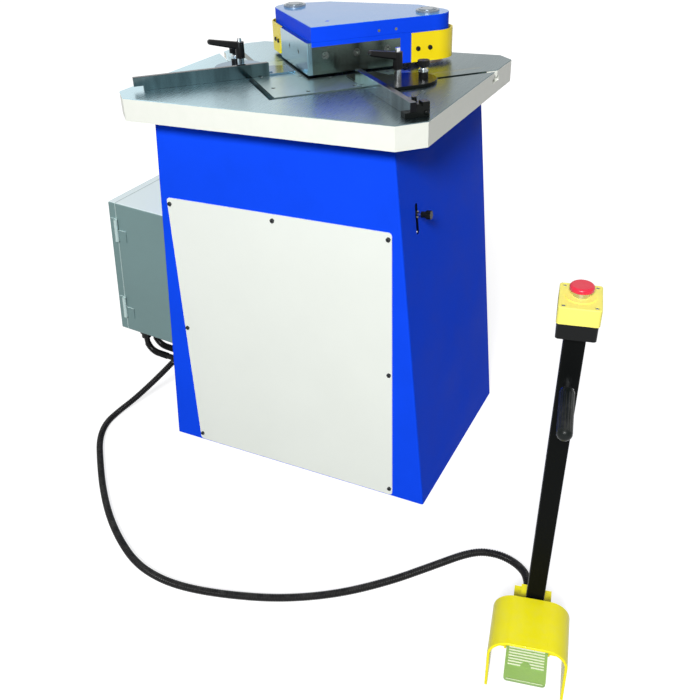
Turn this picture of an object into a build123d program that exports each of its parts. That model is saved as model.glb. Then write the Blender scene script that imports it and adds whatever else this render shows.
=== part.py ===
from build123d import *
from math import acos, atan, atan2, cos, degrees, hypot, pi, radians, sin, sqrt
import os

# Sheet metal corner notcher on a floor cabinet, with two angle fences, a control box and a foot station.
# Millimetres, +Z up, +Y to the back. The origin is the middle of the cabinet's underside.

# Cabinet
base_width = 696.0
shoulder_width = 550.0
cabinet_depth = 506.0
cabinet_height = 853.0
cabinet_sheet = 3.0
bend_radius = 4.5
top_flange_side = 40.0
top_flange_end = 14.0
anchor_hole_d = 14.0
anchor_inset_x = 68.0
anchor_inset_y = 53.0
louvre_rows = 6
louvre_start = 341.0
louvre_pitch = 26.0
louvre_length = 150.0
louvre_gap = 7.0
louvre_offset = 110.0
louvre_reach = 9.0
louvre_sheet = 1.5

# Front panel
panel_width = 543.0
panel_bottom = 3.0
panel_height = 667.0
panel_sheet = 2.0
panel_corner = 8.0
panel_lap = 36.0
panel_screw_side = 7.0
panel_screw_top = 14.0
panel_screw_foot = 18.5
panel_screw_d = 6.0
panel_screw_head = 3.5

# Table
side_overhang = 72.0
front_overhang = 58.0
back_overhang = 22.0
table_thickness = 47.0
front_chamfer = 45.0
back_chamfer = 36.0
table_edge = 1.2
table_bolt_d = 12.0
table_bolt_depth = 22.0
table_bolt_inset = 70.0

# Cutting corner: two cutting lines meet at a right angle, each at 45 degrees to the table's front
corner_reach = 233.0
blade_length = 200.0
blade_thickness = 25.0
blade_height = 56.5
blade_opening = 6.5
shear_gap = 0.15
face_blade_length = 270.0
face_blade_front = 212.0
face_blade_thickness = 10.0
face_blade_tail = 6.0
face_blade_bevel = 2.0
face_bevel_start = 12.0
lower_blade_height = 25.0
insert_width = 116.0
insert_thickness = 10.0
insert_overrun = 6.0
scrap_room = 3.0
seat_gap = 0.1
blade_screw_d = 10.0
die_screw_d = 6.0
screw_head_ratio = 1.6
screw_sunk = 0.5
screw_grip = 14.0
hole_spare = 3.0
upper_screw_places = (30.0, 100.0, 170.0)
face_screw_places = (70.0, 140.0)
lower_screw_places = (35.0, 100.0, 165.0)
insert_screw_places = (-40.0, 60.0, 160.0)
insert_screw_inset = 18.0

# T-slots beside the insert
slot_width = 14.0
slot_neck = 14.0
slot_foot_width = 30.0
slot_foot_height = 9.0
rule_out = 79.0
rule_width = 12.0
rule_thickness = 1.5
rule_start = 212.0
rule_length = 142.0

# Head
guard_lift = 3.0
strip_height = 9.0
head_plate_thickness = 31.0
head_edge = 1.0
head_back_reach = 80.0
head_back_width = 230.0
eye_hole_d = 9.0
eye_hole_depth = 12.0
eye_hole_reach = 76.0
column_d = 50.0
column_x = 167.0
column_inset = 67.0
column_cap_d = 52.0
column_cap_height = 5.0
column_cap_step_d = 40.0
column_cap_step = 2.0
spanner_hole_d = 5.0
spanner_spacing = 28.0
guard_start = 225.0
guard_overrun = 7.0
guard_sheet = 3.0
guard_drop = 1.5
face_guard_rise = 2.0
face_guard_cut = 22.0
guard_end_angle = 58.0
guard_screw_places = (240.0, 268.0)
face_guard_screws = (240.0, 264.0)
guard_screw_d = 6.0
guard_screw_head = 3.0
plate_screw_places = (151.0, 190.0)
plate_screw_depth = 15.0

# Guides and drive under the table
running_fit = 0.05
bush_wall = 10.0
bush_length = 110.0
bush_flange = 15.0
bush_flange_thickness = 12.0
cylinder_d = 96.0
cylinder_length = 180.0
cylinder_flange_width = 172.0
cylinder_flange_depth = 100.0
cylinder_flange_thickness = 20.0
cylinder_bolt_inset = 18.0
cylinder_bore = 70.0
cylinder_end = 25.0
cylinder_cap = 12.0
port_reach = 12.0
port_drop = 30.0
rod_d = 45.0
piston_thickness = 30.0
rod_reach = 48.0
yoke_height = 60.0
yoke_width = 84.0
yoke_margin = 44.0
yoke_corner = 14.0
nut_d = 74.0
nut_height = 24.0
column_tail = 6.0

# Power unit
tank_width = 320.0
tank_depth = 200.0
tank_height = 200.0
tank_sheet = 3.0
tank_corner = 12.0
tank_x = -40.0
tank_gap = 10.0
filler_d = 40.0
filler_height = 26.0
filler_inset = 40.0
motor_d = 150.0
motor_height = 230.0
motor_foot = 18.0
motor_cowl = 50.0
motor_flange_rim = 12.0
motor_fins = 18
motor_fin_depth = 6.0
motor_fin_width = 4.0
motor_offset = -70.0
hose_d = 18.0
hose_offset = 110.0
hose_reach = 60.0
outlet_height = 24.0
fitting_wall = 4.0
hose_rise = 250.0
hose_bow = 25.0
hose_lead = 60.0

# Stroke setting in the right wall
stroke_slot_width = 12.0
stroke_slot_bottom = 641.0
stroke_slot_length = 66.0
stroke_slot_play = 0.3
stroke_inset = 81.0
stroke_height = 684.0
stroke_stud_d = 6.0
stroke_plate = 4.0
stroke_plate_width = 32.0
stroke_plate_height = 44.0
stroke_switch_depth = 26.0
stroke_switch_width = 28.0
stroke_switch_height = 36.0
stroke_collar_d = 15.0
stroke_collar_rim = 2.5
stroke_neck_d = 9.0
slide_gap = 0.3
stroke_collar_reach = 11.0
stroke_knob_reach = 21.0
stroke_knob_d = 18.0
stroke_knob_notches = 8
stroke_notch_d = 5.0
stud_cover = 3.0

# Fences, measured from the cutting corner: along a cutting line, and out from it
fence_along = 68.0
fence_lift = 0.3
fence_plate_thickness = 6.0
fence_nose = 20.0
fence_nose_thickness = 4.0
fence_nose_taper = 40.0
fence_disc_d = 110.0
fence_disc_offset = 104.0
fence_bar_height = 28.0
fence_bar_thickness = 12.0
fence_bar_inner = 78.0
fence_bar_length = 292.0
bar_notch_length = 20.0
bar_notch_height = 10.0
fence_edge = 0.8
stud_d = 10.0
lever_stud_offset = 76.0
knob_stud_offset = 133.0
tee_length = 24.0
tee_gap = 0.6
lever_hub_d = 20.0
lever_foot_d = 15.0
lever_foot_height = 22.0
lever_hub_height = 34.0
lever_arm_length = 66.0
lever_arm_width = 12.0
lever_root_d = 16.0
lever_tip_d = 11.0
lever_rise = 12.0
lever_edge = 3.0
lever_angle_right = 193.0
lever_angle_left = 272.0
knob_collar_d = 20.0
knob_collar_height = 17.0
knob_neck_d = 13.0
knob_neck_height = 6.0
fence_knob_d = 25.0
fence_knob_height = 11.0
knob_grooves = 18
knob_groove_d = 2.6
knob_groove_lift = 0.6
lever_stud_show = 8.0
stop_width = 32.0
stop_depth = 26.0
stop_height = 22.0
stop_edge = 4.0
stop_finger = 10.0
stop_upright_width = 18.0
stop_upright_depth = 14.0
stop_upright_height = 26.0
stop_screw_d = 10.0
stop_screw_height = 31.0
stop_tip_d = 9.0

# Control box on the left wall, measured along that wall
box_inset = 10.0
box_width = 300.0
box_depth = 162.0
box_bottom = 271.0
box_height = 348.0
box_sheet = 2.0
box_corner = 4.0
box_rim = 14.0
door_depth = 20.0
door_gap = 1.0
hinge_height = 56.0
hinge_leaf = 25.0
hinge_inset = 40.0
hinge_pin_d = 4.0
hinge_knuckle_d = 9.0
lock_d = 18.0
lock_inset = 30.0
lock_cam = 26.0
lock_cam_width = 12.0
lock_cam_sheet = 3.0
lock_rim = 3.0
lock_body = 14.0
lock_shaft_d = 8.0
lock_key_width = 2.4
lock_key_length = 14.0
hinge_sheet = 2.0
hinge_play = 0.4
gear_inset = 25.0
gear_foot = 64.0
gear_plate = 6.0
rail_thickness = 8.0
rail_inset = 15.0
rail_level = 140.0
rail_height = 35.0
device_widths = (45.0, 45.0, 54.0, 36.0)
device_start = 22.0
device_pitch = 54.0
device_depth = 62.0
device_level = 115.0
device_height = 85.0
terminal_inset = 20.0
terminal_depth = 40.0
terminal_level = 20.0
terminal_height = 42.0

# Conduit and its glands
conduit_d = 17.0
conduit_root_d = 14.6
conduit_bore = 11.0
lead_straight = 52.0
link_ribs = 18
floor_ribs = 180
gland_thread_d = 20.0
gland_hex = 27.0
gland_hex_height = 6.0
gland_nut_d = 24.0
gland_nut_height = 15.0
gland_tail = 8.0
link_out = 102.0
link_inset = 19.0
link_pitch = 34.0
link_straight = 4.0
link_bend = 34.0
lead_out = 74.0
lead_inset = 181.0
lead_drop = 62.0
mains_out = 40.0
mains_inset = 223.0

# Foot station, in a frame of its own that is turned a little towards the operator
station_x = 691.6
station_y = -633.9
station_turn = 11.5
hood_width = 138.0
hood_height = 120.0
hood_wall = 5.0
hood_corner = 38.0
hood_lip = 1.5
hood_front = -7.0
hood_length = 112.0
post_size = 32.0
post_wall = 2.0
post_corner = 3.0
post_back = 130.0
post_bottom = 40.0
post_top = 702.0
post_shift = 3.0
post_lean = 3.0
post_side_lean = 1.0
housing_width = 69.0
housing_length = 65.0
housing_height = 79.0
ear_width = 44.0
ear_height = 15.0
ear_inset = 8.0
foot_plate_width = 120.0
foot_plate_thickness = 5.0
foot_plate_start = 86.0
foot_plate_end = 190.0
foot_tongue_start = 20.0
foot_tongue_inset = 4.0
pedal_width = 74.0
pedal_length = 96.0
pedal_thickness = 7.0
pedal_slope = 16.4
pedal_pivot_y = 90.0
pedal_pivot_z = 46.0
pedal_pin_d = 8.0
pedal_ribs = 7
pedal_rib_height = 1.8
pedal_rib_width = 2.8
pedal_rib_inset = 5.0
pedal_lip = 3.0
pedal_corner = 6.0
pedal_boss_wall = 4.0
pedal_first_rib = 0.37
pedal_rib_pitch = 0.055
pedal_tab_d = 17.0
pedal_tab_height = 1.0
pedal_tab_gap = 1.0
cheek_width = 4.0
cheek_gap = 1.0
cheek_reach = 8.0
cheek_rise = 7.0
switch_width = 28.0
switch_place = (48.0, 74.0)
switch_top = 23.0
plunger_y = 66.0
plunger_top = 30.0
plunger_d = 8.0
handle_height = 602.5
handle_stud_d = 12.0
handle_head_d = 18.0
handle_head = 4.0
handle_collar_d = 21.0
handle_collar = 12.0
grip_d = 23.0
grip_length = 106.0
grip_dome = 10.0
grip_end_wall = 9.0
grip_flutes = 16
grip_flute_d = 4.0
grip_flute_lift = 1.2
grip_shoulder = 6.0
estop_width = 61.0
estop_depth = 73.0
estop_base_height = 26.0
estop_cover_height = 27.5
estop_wall = 2.5
estop_corner = 5.0
estop_screw_inset = 7.5
estop_screw_d = 3.0
estop_boss_d = 8.0
estop_lip = 1.5
estop_stem_d = 22.0
legend_d = 44.0
legend_thickness = 1.5
mushroom_d = 35.0
mushroom_height = 7.0
mushroom_lift = 12.5
stem_depth = 12.0
station_gland_x = -8.0
station_gland_z = 27.0

# Places, levels and angles that follow from the sizes above
base_half = base_width / 2
shoulder_half = shoulder_width / 2
lean = degrees(atan((base_half - shoulder_half) / cabinet_height))
wall_across = cabinet_sheet / cos(radians(lean))
cabinet_back = cabinet_depth / 2
cabinet_front = -cabinet_depth / 2
table_top = cabinet_height + table_thickness
table_half = shoulder_half + side_overhang
table_front = cabinet_front - front_overhang
table_back = cabinet_back + back_overhang
column_y = cabinet_back - column_inset
corner_y = column_y - corner_reach
head_back_y = column_y + head_back_reach
end_radius = (corner_reach - column_x) / sqrt(2)
blade_bottom = table_top + blade_opening
blade_top = blade_bottom + blade_height
holder_bottom = blade_bottom + guard_lift
holder_top = blade_top + strip_height
head_top = holder_top + head_plate_thickness
screw_level = blade_bottom + blade_height * 0.66
guard_screw_level = (holder_bottom + holder_top) / 2 - guard_lift
plate_screw_level = holder_top + head_plate_thickness * 0.34
slot_middle = insert_width + slot_width / 2
cylinder_bottom = cabinet_height - cylinder_length
port_y = column_y - cylinder_d / 2 - port_reach
port_level = cabinet_height - cylinder_flange_thickness - port_drop
yoke_top = cylinder_bottom - rod_reach
yoke_bottom = yoke_top - yoke_height
tank_y = cabinet_back - cabinet_sheet - tank_gap - tank_depth / 2
tank_top = cabinet_sheet + tank_height
hose_y = port_y - hose_reach
stroke_y = cabinet_front + stroke_inset
fence_bottom = table_top + fence_lift
fence_plate_top = fence_bottom + fence_plate_thickness
bar_back = fence_along + fence_bar_thickness
bar_end = fence_bar_inner + fence_bar_length
lever_along = fence_along + lever_stud_offset
knob_along = fence_along + knob_stud_offset
lever_top = fence_plate_top + slide_gap + lever_foot_height + lever_hub_height
knob_top = fence_plate_top + slide_gap + knob_collar_height + knob_neck_height + fence_knob_height
box_front_y = cabinet_front + box_inset
box_back_y = box_front_y + box_width
box_top = box_bottom + box_height
lock_level = (box_bottom + box_top) / 2
seam = box_depth - door_depth
hinge_axis_y = box_front_y - hinge_knuckle_d / 2 - 0.5
hinge_levels = (box_bottom + hinge_inset, box_top - hinge_inset - hinge_height)
gland_reach = gland_hex_height + gland_nut_height
link_level = box_bottom - gland_reach - link_straight - link_bend
link_places = (box_front_y + link_inset, box_front_y + link_inset + link_pitch)
lead_y = box_front_y + lead_inset
mains_y = box_front_y + mains_inset
estop_level = post_top + estop_base_height + estop_cover_height
post_front = post_back - post_size / 2
grip_start = post_front - handle_collar - slide_gap
grip_end = grip_start - grip_length
hood_back = hood_front + hood_length
housing_end = hood_back + housing_length
cheek_out = pedal_width / 2 + cheek_gap + cheek_width

# Frames: the right-hand cutting line, the two leaning walls, the foot station and its leaning post
right_line = Pos(0, corner_y, 0) * Rot(0, 0, 45)
left_wall = Pos(-base_half, 0, 0) * Rot(0, lean, 0)
right_wall = Pos(base_half, 0, 0) * Rot(0, -lean, 0)
station = Pos(station_x, station_y, 0) * Rot(0, 0, station_turn)
post_foot = Pos(post_shift, post_back, post_bottom) * Rot(post_lean, post_side_lean, 0)
post_tilt = post_foot * Pos(0, -post_back, -post_bottom)
mast = station * post_tilt


def block(x, y, z):
    """Box from three (low, high) pairs."""
    size = Box(x[1] - x[0], y[1] - y[0], z[1] - z[0])
    return Pos((x[0] + x[1]) / 2, (y[0] + y[1]) / 2, (z[0] + z[1]) / 2) * size


def post(x, y, z, diameter):
    """Upright cylinder between two levels."""
    return Pos(x, y, (z[0] + z[1]) / 2) * Cylinder(diameter / 2, z[1] - z[0])


def prism(points, z):
    """Upright prism on a flat outline."""
    outline = make_face(Polyline(*points, close=True))
    return Pos(0, 0, z[0]) * extrude(outline, amount=z[1] - z[0])


def along_y(x, y, z, diameter):
    """Cylinder lying along Y."""
    middle = (y[0] + y[1]) / 2
    return Pos(x, middle, z) * Rot(90, 0, 0) * Cylinder(diameter / 2, y[1] - y[0])


def along_x(x, y, z, diameter):
    """Cylinder lying along X."""
    middle = (x[0] + x[1]) / 2
    return Pos(middle, y, z) * Rot(0, 90, 0) * Cylinder(diameter / 2, x[1] - x[0])


def line_block(along, out, z):
    """Box beside the right-hand cutting line: along it, out from it, and up."""
    return right_line * block(along, (-out[1], -out[0]), z)


def line_post(along, out, z, diameter):
    """Upright cylinder placed from the right-hand cutting line."""
    return right_line * post(along, -out, z, diameter)


def line_point(along, out):
    """Plan position of a point given from the right-hand cutting line."""
    return ((along + out) / sqrt(2), corner_y + (along - out) / sqrt(2))


def left_point(along, out):
    """Plan position of a point given from the left-hand cutting line."""
    x, y = line_point(along, out)
    return (-x, y)


def left_copy(shape):
    """Mirror image of a right-hand piece."""
    return mirror(shape, about=Plane.YZ)


def both_sides(shape):
    """A right-hand piece and its mirror image."""
    return [shape, left_copy(shape)]


def group(shapes):
    """Several separate solids in one node."""
    solids = [solid for shape in shapes for solid in shape.solids()]
    return Compound(children=solids)


def top_edges(shape):
    return shape.edges().group_by(Axis.Z)[-1]


def cap_screw(diameter, length, head_height=None):
    """Socket screw along -Z, with the top of its head at the origin."""
    head = diameter if head_height is None else head_height
    screw = post(0, 0, (-head, 0), diameter * screw_head_ratio)
    screw += post(0, 0, (-head - length, -head), diameter)
    socket = RegularPolygon(diameter * 0.46, 6)
    return screw - Pos(0, 0, -head * 0.55) * extrude(socket, amount=head)


def sunk_screw(diameter, held):
    """Socket screw sunk in a face at the origin, through the piece it holds and into the one behind."""
    return Pos(0, 0, -screw_sunk) * cap_screw(diameter, held + screw_grip - diameter - screw_sunk)


def sunk_hole(diameter, held):
    """Stepped hole of a sunk screw, a little wider and deeper than the screw."""
    hole = post(0, 0, (-held - screw_grip - hole_spare, 1), diameter + 2 * seat_gap)
    return hole + post(0, 0, (-diameter - screw_sunk, 1), diameter * screw_head_ratio + 4 * seat_gap)


def hex_ring(across, height, bore):
    """Hexagon nut standing on the origin."""
    ring = extrude(RegularPolygon(across / 2, 6, major_radius=False), amount=height)
    return ring - post(0, 0, (-1, height + 1), bore)


def save(node, shape):
    export_step(shape, f"parts/{node}.step")


# Cabinet: one folded sheet body, closed below, with a flange above for the table
def cabinet_profile(inset, bottom, top):
    def half(z):
        return base_half - (base_half - shoulder_half) * z / cabinet_height - inset
    corners = [(-half(bottom), bottom), (half(bottom), bottom), (half(top), top), (-half(top), top)]
    return Plane.XZ * make_face(Polyline(*corners, close=True))


def cabinet_shell():
    outer = extrude(cabinet_profile(0, 0, cabinet_height), amount=cabinet_back, both=True)
    outer = fillet([edge for edge in outer.edges() if edge.length > cabinet_height], bend_radius)
    inner_face = cabinet_profile(wall_across, cabinet_sheet, cabinet_height - cabinet_sheet)
    shell = outer - extrude(inner_face, amount=cabinet_back - cabinet_sheet, both=True)
    mouth_x = shoulder_half - top_flange_side
    mouth_y = cabinet_back - top_flange_end
    shell -= block((-mouth_x, mouth_x), (-mouth_y, mouth_y), (cabinet_height - 20, cabinet_height + 1))
    window = panel_width / 2 - panel_lap
    window_z = (panel_bottom + panel_lap, panel_bottom + panel_height - panel_lap)
    shell -= block((-window, window), (cabinet_front - 1, cabinet_front + 10), window_z)
    for x, z in panel_screw_points():
        shell -= along_y(x, (cabinet_front - 1, cabinet_front + 10), z, panel_screw_d + 2 * seat_gap)
    for x, y in anchor_points():
        shell -= post(x, y, (-1, cabinet_sheet + 1), anchor_hole_d)
    for x, y in table_bolt_points():
        shell -= post(x, y, (cabinet_height - 20, cabinet_height + 1), table_bolt_d + 2 * seat_gap)
    shell -= right_wall * stroke_slot()
    for y in link_places:
        shell -= left_wall * along_x((-10, 30), y, link_level, gland_thread_d + 2 * seat_gap)
    for x, z in louvre_spots():
        half = louvre_length / 2
        shell -= block((x - half, x + half), (cabinet_back - 10, cabinet_back + 1), (z, z + louvre_gap))
        shell += Pos(x, cabinet_back, z) * louvre_hood()
    return shell


def louvre_spots():
    levels = [louvre_start + row * louvre_pitch for row in range(louvre_rows)]
    return [(x, z) for z in levels for x in (-louvre_offset, louvre_offset)]


def louvre_hood():
    """Pressed hood over one louvre of the back wall, open below."""
    rise = 2 * louvre_gap
    inner = 1 - louvre_sheet * hypot(rise, louvre_reach) / (rise * louvre_reach)
    outer_face = Polyline((0, 0), (louvre_reach, 0), (0, rise), close=True)
    lip = louvre_reach * inner
    inner_face = Polyline((0, -1), (lip, -1), (lip, 0), (0, rise * inner), close=True)
    half = louvre_length / 2
    hood = extrude(Plane.YZ * make_face(outer_face), amount=half + louvre_sheet, both=True)
    return hood - extrude(Plane.YZ * make_face(inner_face), amount=half, both=True)


def anchor_points():
    x = base_half - anchor_inset_x
    y = cabinet_back - anchor_inset_y
    return [(sx * x, sy * y) for sx in (-1, 1) for sy in (-1, 1)]


def table_bolt_points():
    x = shoulder_half - top_flange_side / 2
    y = cabinet_back - table_bolt_inset
    return [(side * x, place) for side in (-1, 1) for place in (-y, 0, y)]


def stroke_slot():
    """Upright slot with round ends, in the frame of the right wall."""
    r = stroke_slot_width / 2
    ends = (stroke_slot_bottom + r, stroke_slot_bottom + stroke_slot_length - r)
    slot = block((-10, 10), (stroke_y - r, stroke_y + r), ends)
    for z in ends:
        slot += along_x((-10, 10), stroke_y, z, stroke_slot_width)
    return slot


def panel_screw_points():
    x = panel_width / 2 - panel_screw_side
    low = panel_bottom + panel_screw_foot
    high = panel_bottom + panel_height - panel_screw_top
    middle = (low + high) / 2
    return [(-x, low), (x, low), (-x, middle), (x, middle), (-x, high), (0, high), (x, high)]


def front_panel():
    sketch = RectangleRounded(panel_width, panel_height, panel_corner)
    face = Pos(0, cabinet_front, panel_bottom + panel_height / 2) * (Plane.XZ * sketch)
    panel = extrude(face, amount=panel_sheet)
    for x, z in panel_screw_points():
        through = (cabinet_front - panel_sheet - 1, cabinet_front + 1)
        panel -= along_y(x, through, z, panel_screw_d + 2 * seat_gap)
    return panel


def panel_screws():
    screw = cap_screw(panel_screw_d, cabinet_sheet + panel_sheet + 9, panel_screw_head)
    front = cabinet_front - panel_sheet - panel_screw_head
    return group([Pos(x, front, z) * Rot(90, 0, 0) * screw for x, z in panel_screw_points()])


# Table: a thick ground plate with the cutting corner, two T-slots and the guide bores
def chevron(width_in, width_out, end, z):
    """V-shaped band that follows both cutting lines between two distances out from them."""
    right = [line_point(-width_out, width_out), line_point(end, width_out)]
    back = [line_point(end, width_in), line_point(-width_in, width_in)]
    left = [(-x, y) for x, y in (back[0], right[1])]
    return prism(right + back + left, z)


def table_plate():
    right = [(table_half - front_chamfer, table_front), (table_half, table_front + front_chamfer),
             (table_half, table_back - back_chamfer), (table_half - back_chamfer, table_back)]
    plate = prism(right + [(-x, y) for x, y in reversed(right)], (cabinet_height, table_top))
    plate = chamfer(top_edges(plate), table_edge)
    over = table_top + 1
    plate -= chevron(0, insert_width, blade_length + insert_overrun, (table_top - insert_thickness, over))
    plate -= lower_blade_seats()
    plate -= prism(scrap_outline(), (cabinet_height - 1, over))
    for cut in slot_cuts():
        plate -= cut
    for cut in both_sides(rule_strip(seat_gap)):
        plate -= cut
    for x in (-column_x, column_x):
        bore = column_d + 2 * bush_wall + 2 * seat_gap
        plate -= post(x, column_y, (cabinet_height - 1, over), bore)
    for x, y in table_bolt_points() + cylinder_bolt_points():
        hole_z = (cabinet_height - 1, cabinet_height + table_bolt_depth)
        plate -= post(x, y, hole_z, table_bolt_d + 2 * seat_gap)
    return drilled(plate)


def scrap_outline():
    """Opening that the cut-off corners fall through; both upper blades pass into it."""
    right_end = blade_length + scrap_room
    left_end = face_blade_length + scrap_room
    left_out = face_blade_thickness + shear_gap
    return [line_point(-left_out, 0), line_point(right_end, 0),
            line_point(right_end, -blade_thickness - scrap_room),
            left_point(face_blade_front, -scrap_room), left_point(left_end, -scrap_room),
            left_point(left_end, left_out)]


def slot_cuts():
    """Neck and foot of both T-slots, open at the table's sides."""
    far = 2 * table_half
    foot_top = table_top - slot_neck
    foot_half = slot_foot_width / 2
    neck = (insert_width, insert_width + slot_width)
    foot = (slot_middle - foot_half, slot_middle + foot_half)
    cuts = both_sides(line_block((-neck[1], far), neck, (foot_top - 1, table_top + 1)))
    return cuts + both_sides(line_block((-foot[1], far), foot, (foot_top - slot_foot_height, foot_top)))


def lower_blade_seats():
    seat = (table_top - lower_blade_height, table_top + 1)
    back = blade_thickness + seat_gap
    end = blade_length + seat_gap
    left = left_copy(line_block((-seat_gap, end), (face_blade_thickness, back), seat))
    return left + line_block((-back, end), (0, back), seat)


def lower_blade_right():
    """Lower blade bar that also fills the corner."""
    seat = (table_top - lower_blade_height, table_top)
    return drilled(line_block((-blade_thickness, blade_length), (shear_gap, blade_thickness), seat))


def lower_blade_left():
    """Lower blade bar that stands back by the thickness of the upper face blade."""
    seat = (table_top - lower_blade_height, table_top)
    edge = face_blade_thickness + shear_gap
    return drilled(left_copy(line_block((0, blade_length), (edge, blade_thickness), seat)))


def die_insert():
    inner = blade_thickness + 2 * seat_gap
    end = blade_length + insert_overrun - seat_gap
    return drilled(chevron(inner, insert_width, end, (table_top - insert_thickness, table_top)))


def die_screw_spots():
    """Plan position of each sunk screw of the die, with the thickness of the piece that it holds."""
    left_out = (face_blade_thickness + blade_thickness) / 2
    insert_out = insert_width - insert_screw_inset
    spots = []
    for place in lower_screw_places:
        spots.append((line_point(place, blade_thickness / 2), lower_blade_height))
        spots.append((left_point(place, left_out), lower_blade_height))
    for place in insert_screw_places:
        spots.append((line_point(place, insert_out), insert_thickness))
        spots.append((left_point(place, insert_out), insert_thickness))
    return spots


def die_screws():
    return group([Pos(*spot, table_top) * sunk_screw(die_screw_d, held) for spot, held in die_screw_spots()])


def drilled(piece):
    """A piece of the table with the holes of the die's sunk screws."""
    for spot, held in die_screw_spots():
        piece -= Pos(*spot, table_top) * sunk_hole(die_screw_d, held)
    return piece


def rule_strip(room):
    along = (rule_start - room, rule_start + rule_length + room)
    out = (rule_out - rule_width / 2 - room, rule_out + rule_width / 2 + room)
    return line_block(along, out, (table_top - rule_thickness, table_top + (1 if room else 0)))


def table_bolts():
    """Table bolts from below through the cabinet flange, and the cylinder's flange bolts."""
    shapes = []
    grip = table_bolt_depth - hole_spare
    for x, y in table_bolt_points():
        bolt = cap_screw(table_bolt_d, cabinet_sheet + grip)
        shapes.append(Pos(x, y, cabinet_height - cabinet_sheet - table_bolt_d) * Rot(180, 0, 0) * bolt)
    for x, y in cylinder_bolt_points():
        bolt = cap_screw(table_bolt_d, cylinder_flange_thickness + grip)
        level = cabinet_height - cylinder_flange_thickness - table_bolt_d
        shapes.append(Pos(x, y, level) * Rot(180, 0, 0) * bolt)
    return group(shapes)


# Head: blades and guards on a holder under a thick plate, carried by two columns
def head_outline():
    """Plan of the head: a right-angled nose, round ends about the columns, a narrower back."""
    half_turn = acos(end_radius / hypot(column_x - head_back_width / 2, head_back_reach))
    towards = atan2(head_back_reach, head_back_width / 2 - column_x)
    last = towards - half_turn
    middle = (last - pi / 4) / 2

    def rim(angle):
        return (column_x + end_radius * cos(angle), column_y + end_radius * sin(angle))

    def left(point):
        return (-point[0], point[1])
    nose = (0, corner_y)
    back = (head_back_width / 2, head_back_y)
    first, mid, end = rim(-pi / 4), rim(middle), rim(last)
    edges = [Line(nose, first), ThreePointArc(first, mid, end), Line(end, back), Line(back, left(back)),
             Line(left(back), left(end)), ThreePointArc(left(end), left(mid), left(first)),
             Line(left(first), nose)]
    return make_face(edges)


def column_bores(z):
    return [post(x, column_y, z, column_d + 2 * seat_gap) for x in (-column_x, column_x)]


def face_place(along, out, level):
    """Frame on the right-hand face of the head, with +Z straight out of it."""
    return right_line * Pos(along, -out, level) * Rot(90, 0, 0)


def head_plate():
    plate = Pos(0, 0, holder_top) * extrude(head_outline(), amount=head_plate_thickness)
    rims = top_edges(plate) + plate.edges().group_by(Axis.Z)[0]
    plate = chamfer(rims, head_edge)
    for bore in column_bores((holder_top - 1, head_top + 1)):
        plate -= bore
    for hole in plate_set_screws(seat_gap):
        plate -= hole
    return plate - post(0, corner_y + eye_hole_reach, (head_top - eye_hole_depth, head_top + 1), eye_hole_d)


def plate_set_screws(room):
    """Small screws in the right-hand face of the head plate; room widens them into their holes."""
    screw = post(0, 0, (-plate_screw_depth - room, screw_sunk), guard_screw_d + 2 * room)
    return [face_place(along, 0, plate_screw_level) * screw for along in plate_screw_places]


def tool_holder():
    holder = Pos(0, 0, holder_bottom) * extrude(head_outline(), amount=holder_top - holder_bottom)
    under = holder_bottom - 1
    holder -= line_block((-1, blade_length + seat_gap), (-blade_thickness - seat_gap, 1), (under, blade_top))
    for bore in column_bores((under, holder_top + 1)):
        holder -= bore
    for hole in blade_screw_holes():
        holder -= hole
    left_holes = [left_copy(hole) for hole in guard_holes(face_guard_screws)]
    for hole in guard_holes(guard_screw_places) + left_holes:
        holder -= hole
    return holder


def upper_blade_right():
    """Blade bar let into the holder's right-hand face."""
    blade = line_block((0, blade_length), (-blade_thickness, 0), (blade_bottom, blade_top))
    for hole in blade_screw_holes():
        blade -= hole
    return blade


def upper_blade_left():
    """Flat blade on the holder's left-hand face, with a thinner tail under the guard.

    Its front end continues the right-hand cutting line.
    """
    along, out = (0, face_blade_front), (0, face_blade_thickness)
    blade = line_block(along, out, (blade_bottom + face_bevel_start, holder_top))
    blade = chamfer(blade.edges().filter_by(Axis.Z).sort_by(Axis.Y)[0], face_blade_bevel)
    blade += line_block(along, out, (blade_bottom, blade_bottom + face_bevel_start))
    tail = (face_blade_front, face_blade_length)
    blade += line_block(tail, (0, face_blade_tail), (blade_bottom, holder_top))
    blade = left_copy(blade)
    for hole in blade_screw_holes() + [left_copy(hole) for hole in guard_holes(face_guard_screws)]:
        blade -= hole
    return blade


def blade_screw_places():
    """Frame of each screw of the right-hand blade."""
    return [face_place(along, 0, screw_level) for along in upper_screw_places]


def face_screw_frames():
    """Frame of each screw of the blade on the left-hand face, before it is mirrored."""
    return [face_place(along, face_blade_thickness, screw_level) for along in face_screw_places]


def blade_screw_holes():
    holes = [place * sunk_hole(blade_screw_d, blade_thickness) for place in blade_screw_places()]
    face_hole = sunk_hole(die_screw_d, face_blade_thickness)
    return holes + [left_copy(place * face_hole) for place in face_screw_frames()]


def head_screws():
    """Screws of both upper blades, of the guards and of the head plate."""
    shapes = [place * sunk_screw(blade_screw_d, blade_thickness) for place in blade_screw_places()]
    face_screw = sunk_screw(die_screw_d, face_blade_thickness)
    shapes += [left_copy(place * face_screw) for place in face_screw_frames()]
    shapes += guard_screws(guard_screw_places, 0)
    shapes += [left_copy(screw) for screw in guard_screws(face_guard_screws, face_blade_tail)]
    return group(shapes + plate_set_screws(0))


def guard_screws(places, behind):
    """Screws of a guard on the right-hand face; behind is the thickness between the guard and the holder."""
    screw = cap_screw(guard_screw_d, guard_sheet + behind + screw_grip, guard_screw_head)
    out = behind + guard_sheet + guard_screw_head
    return [face_place(along, out, guard_screw_level) * screw for along in places]


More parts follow.
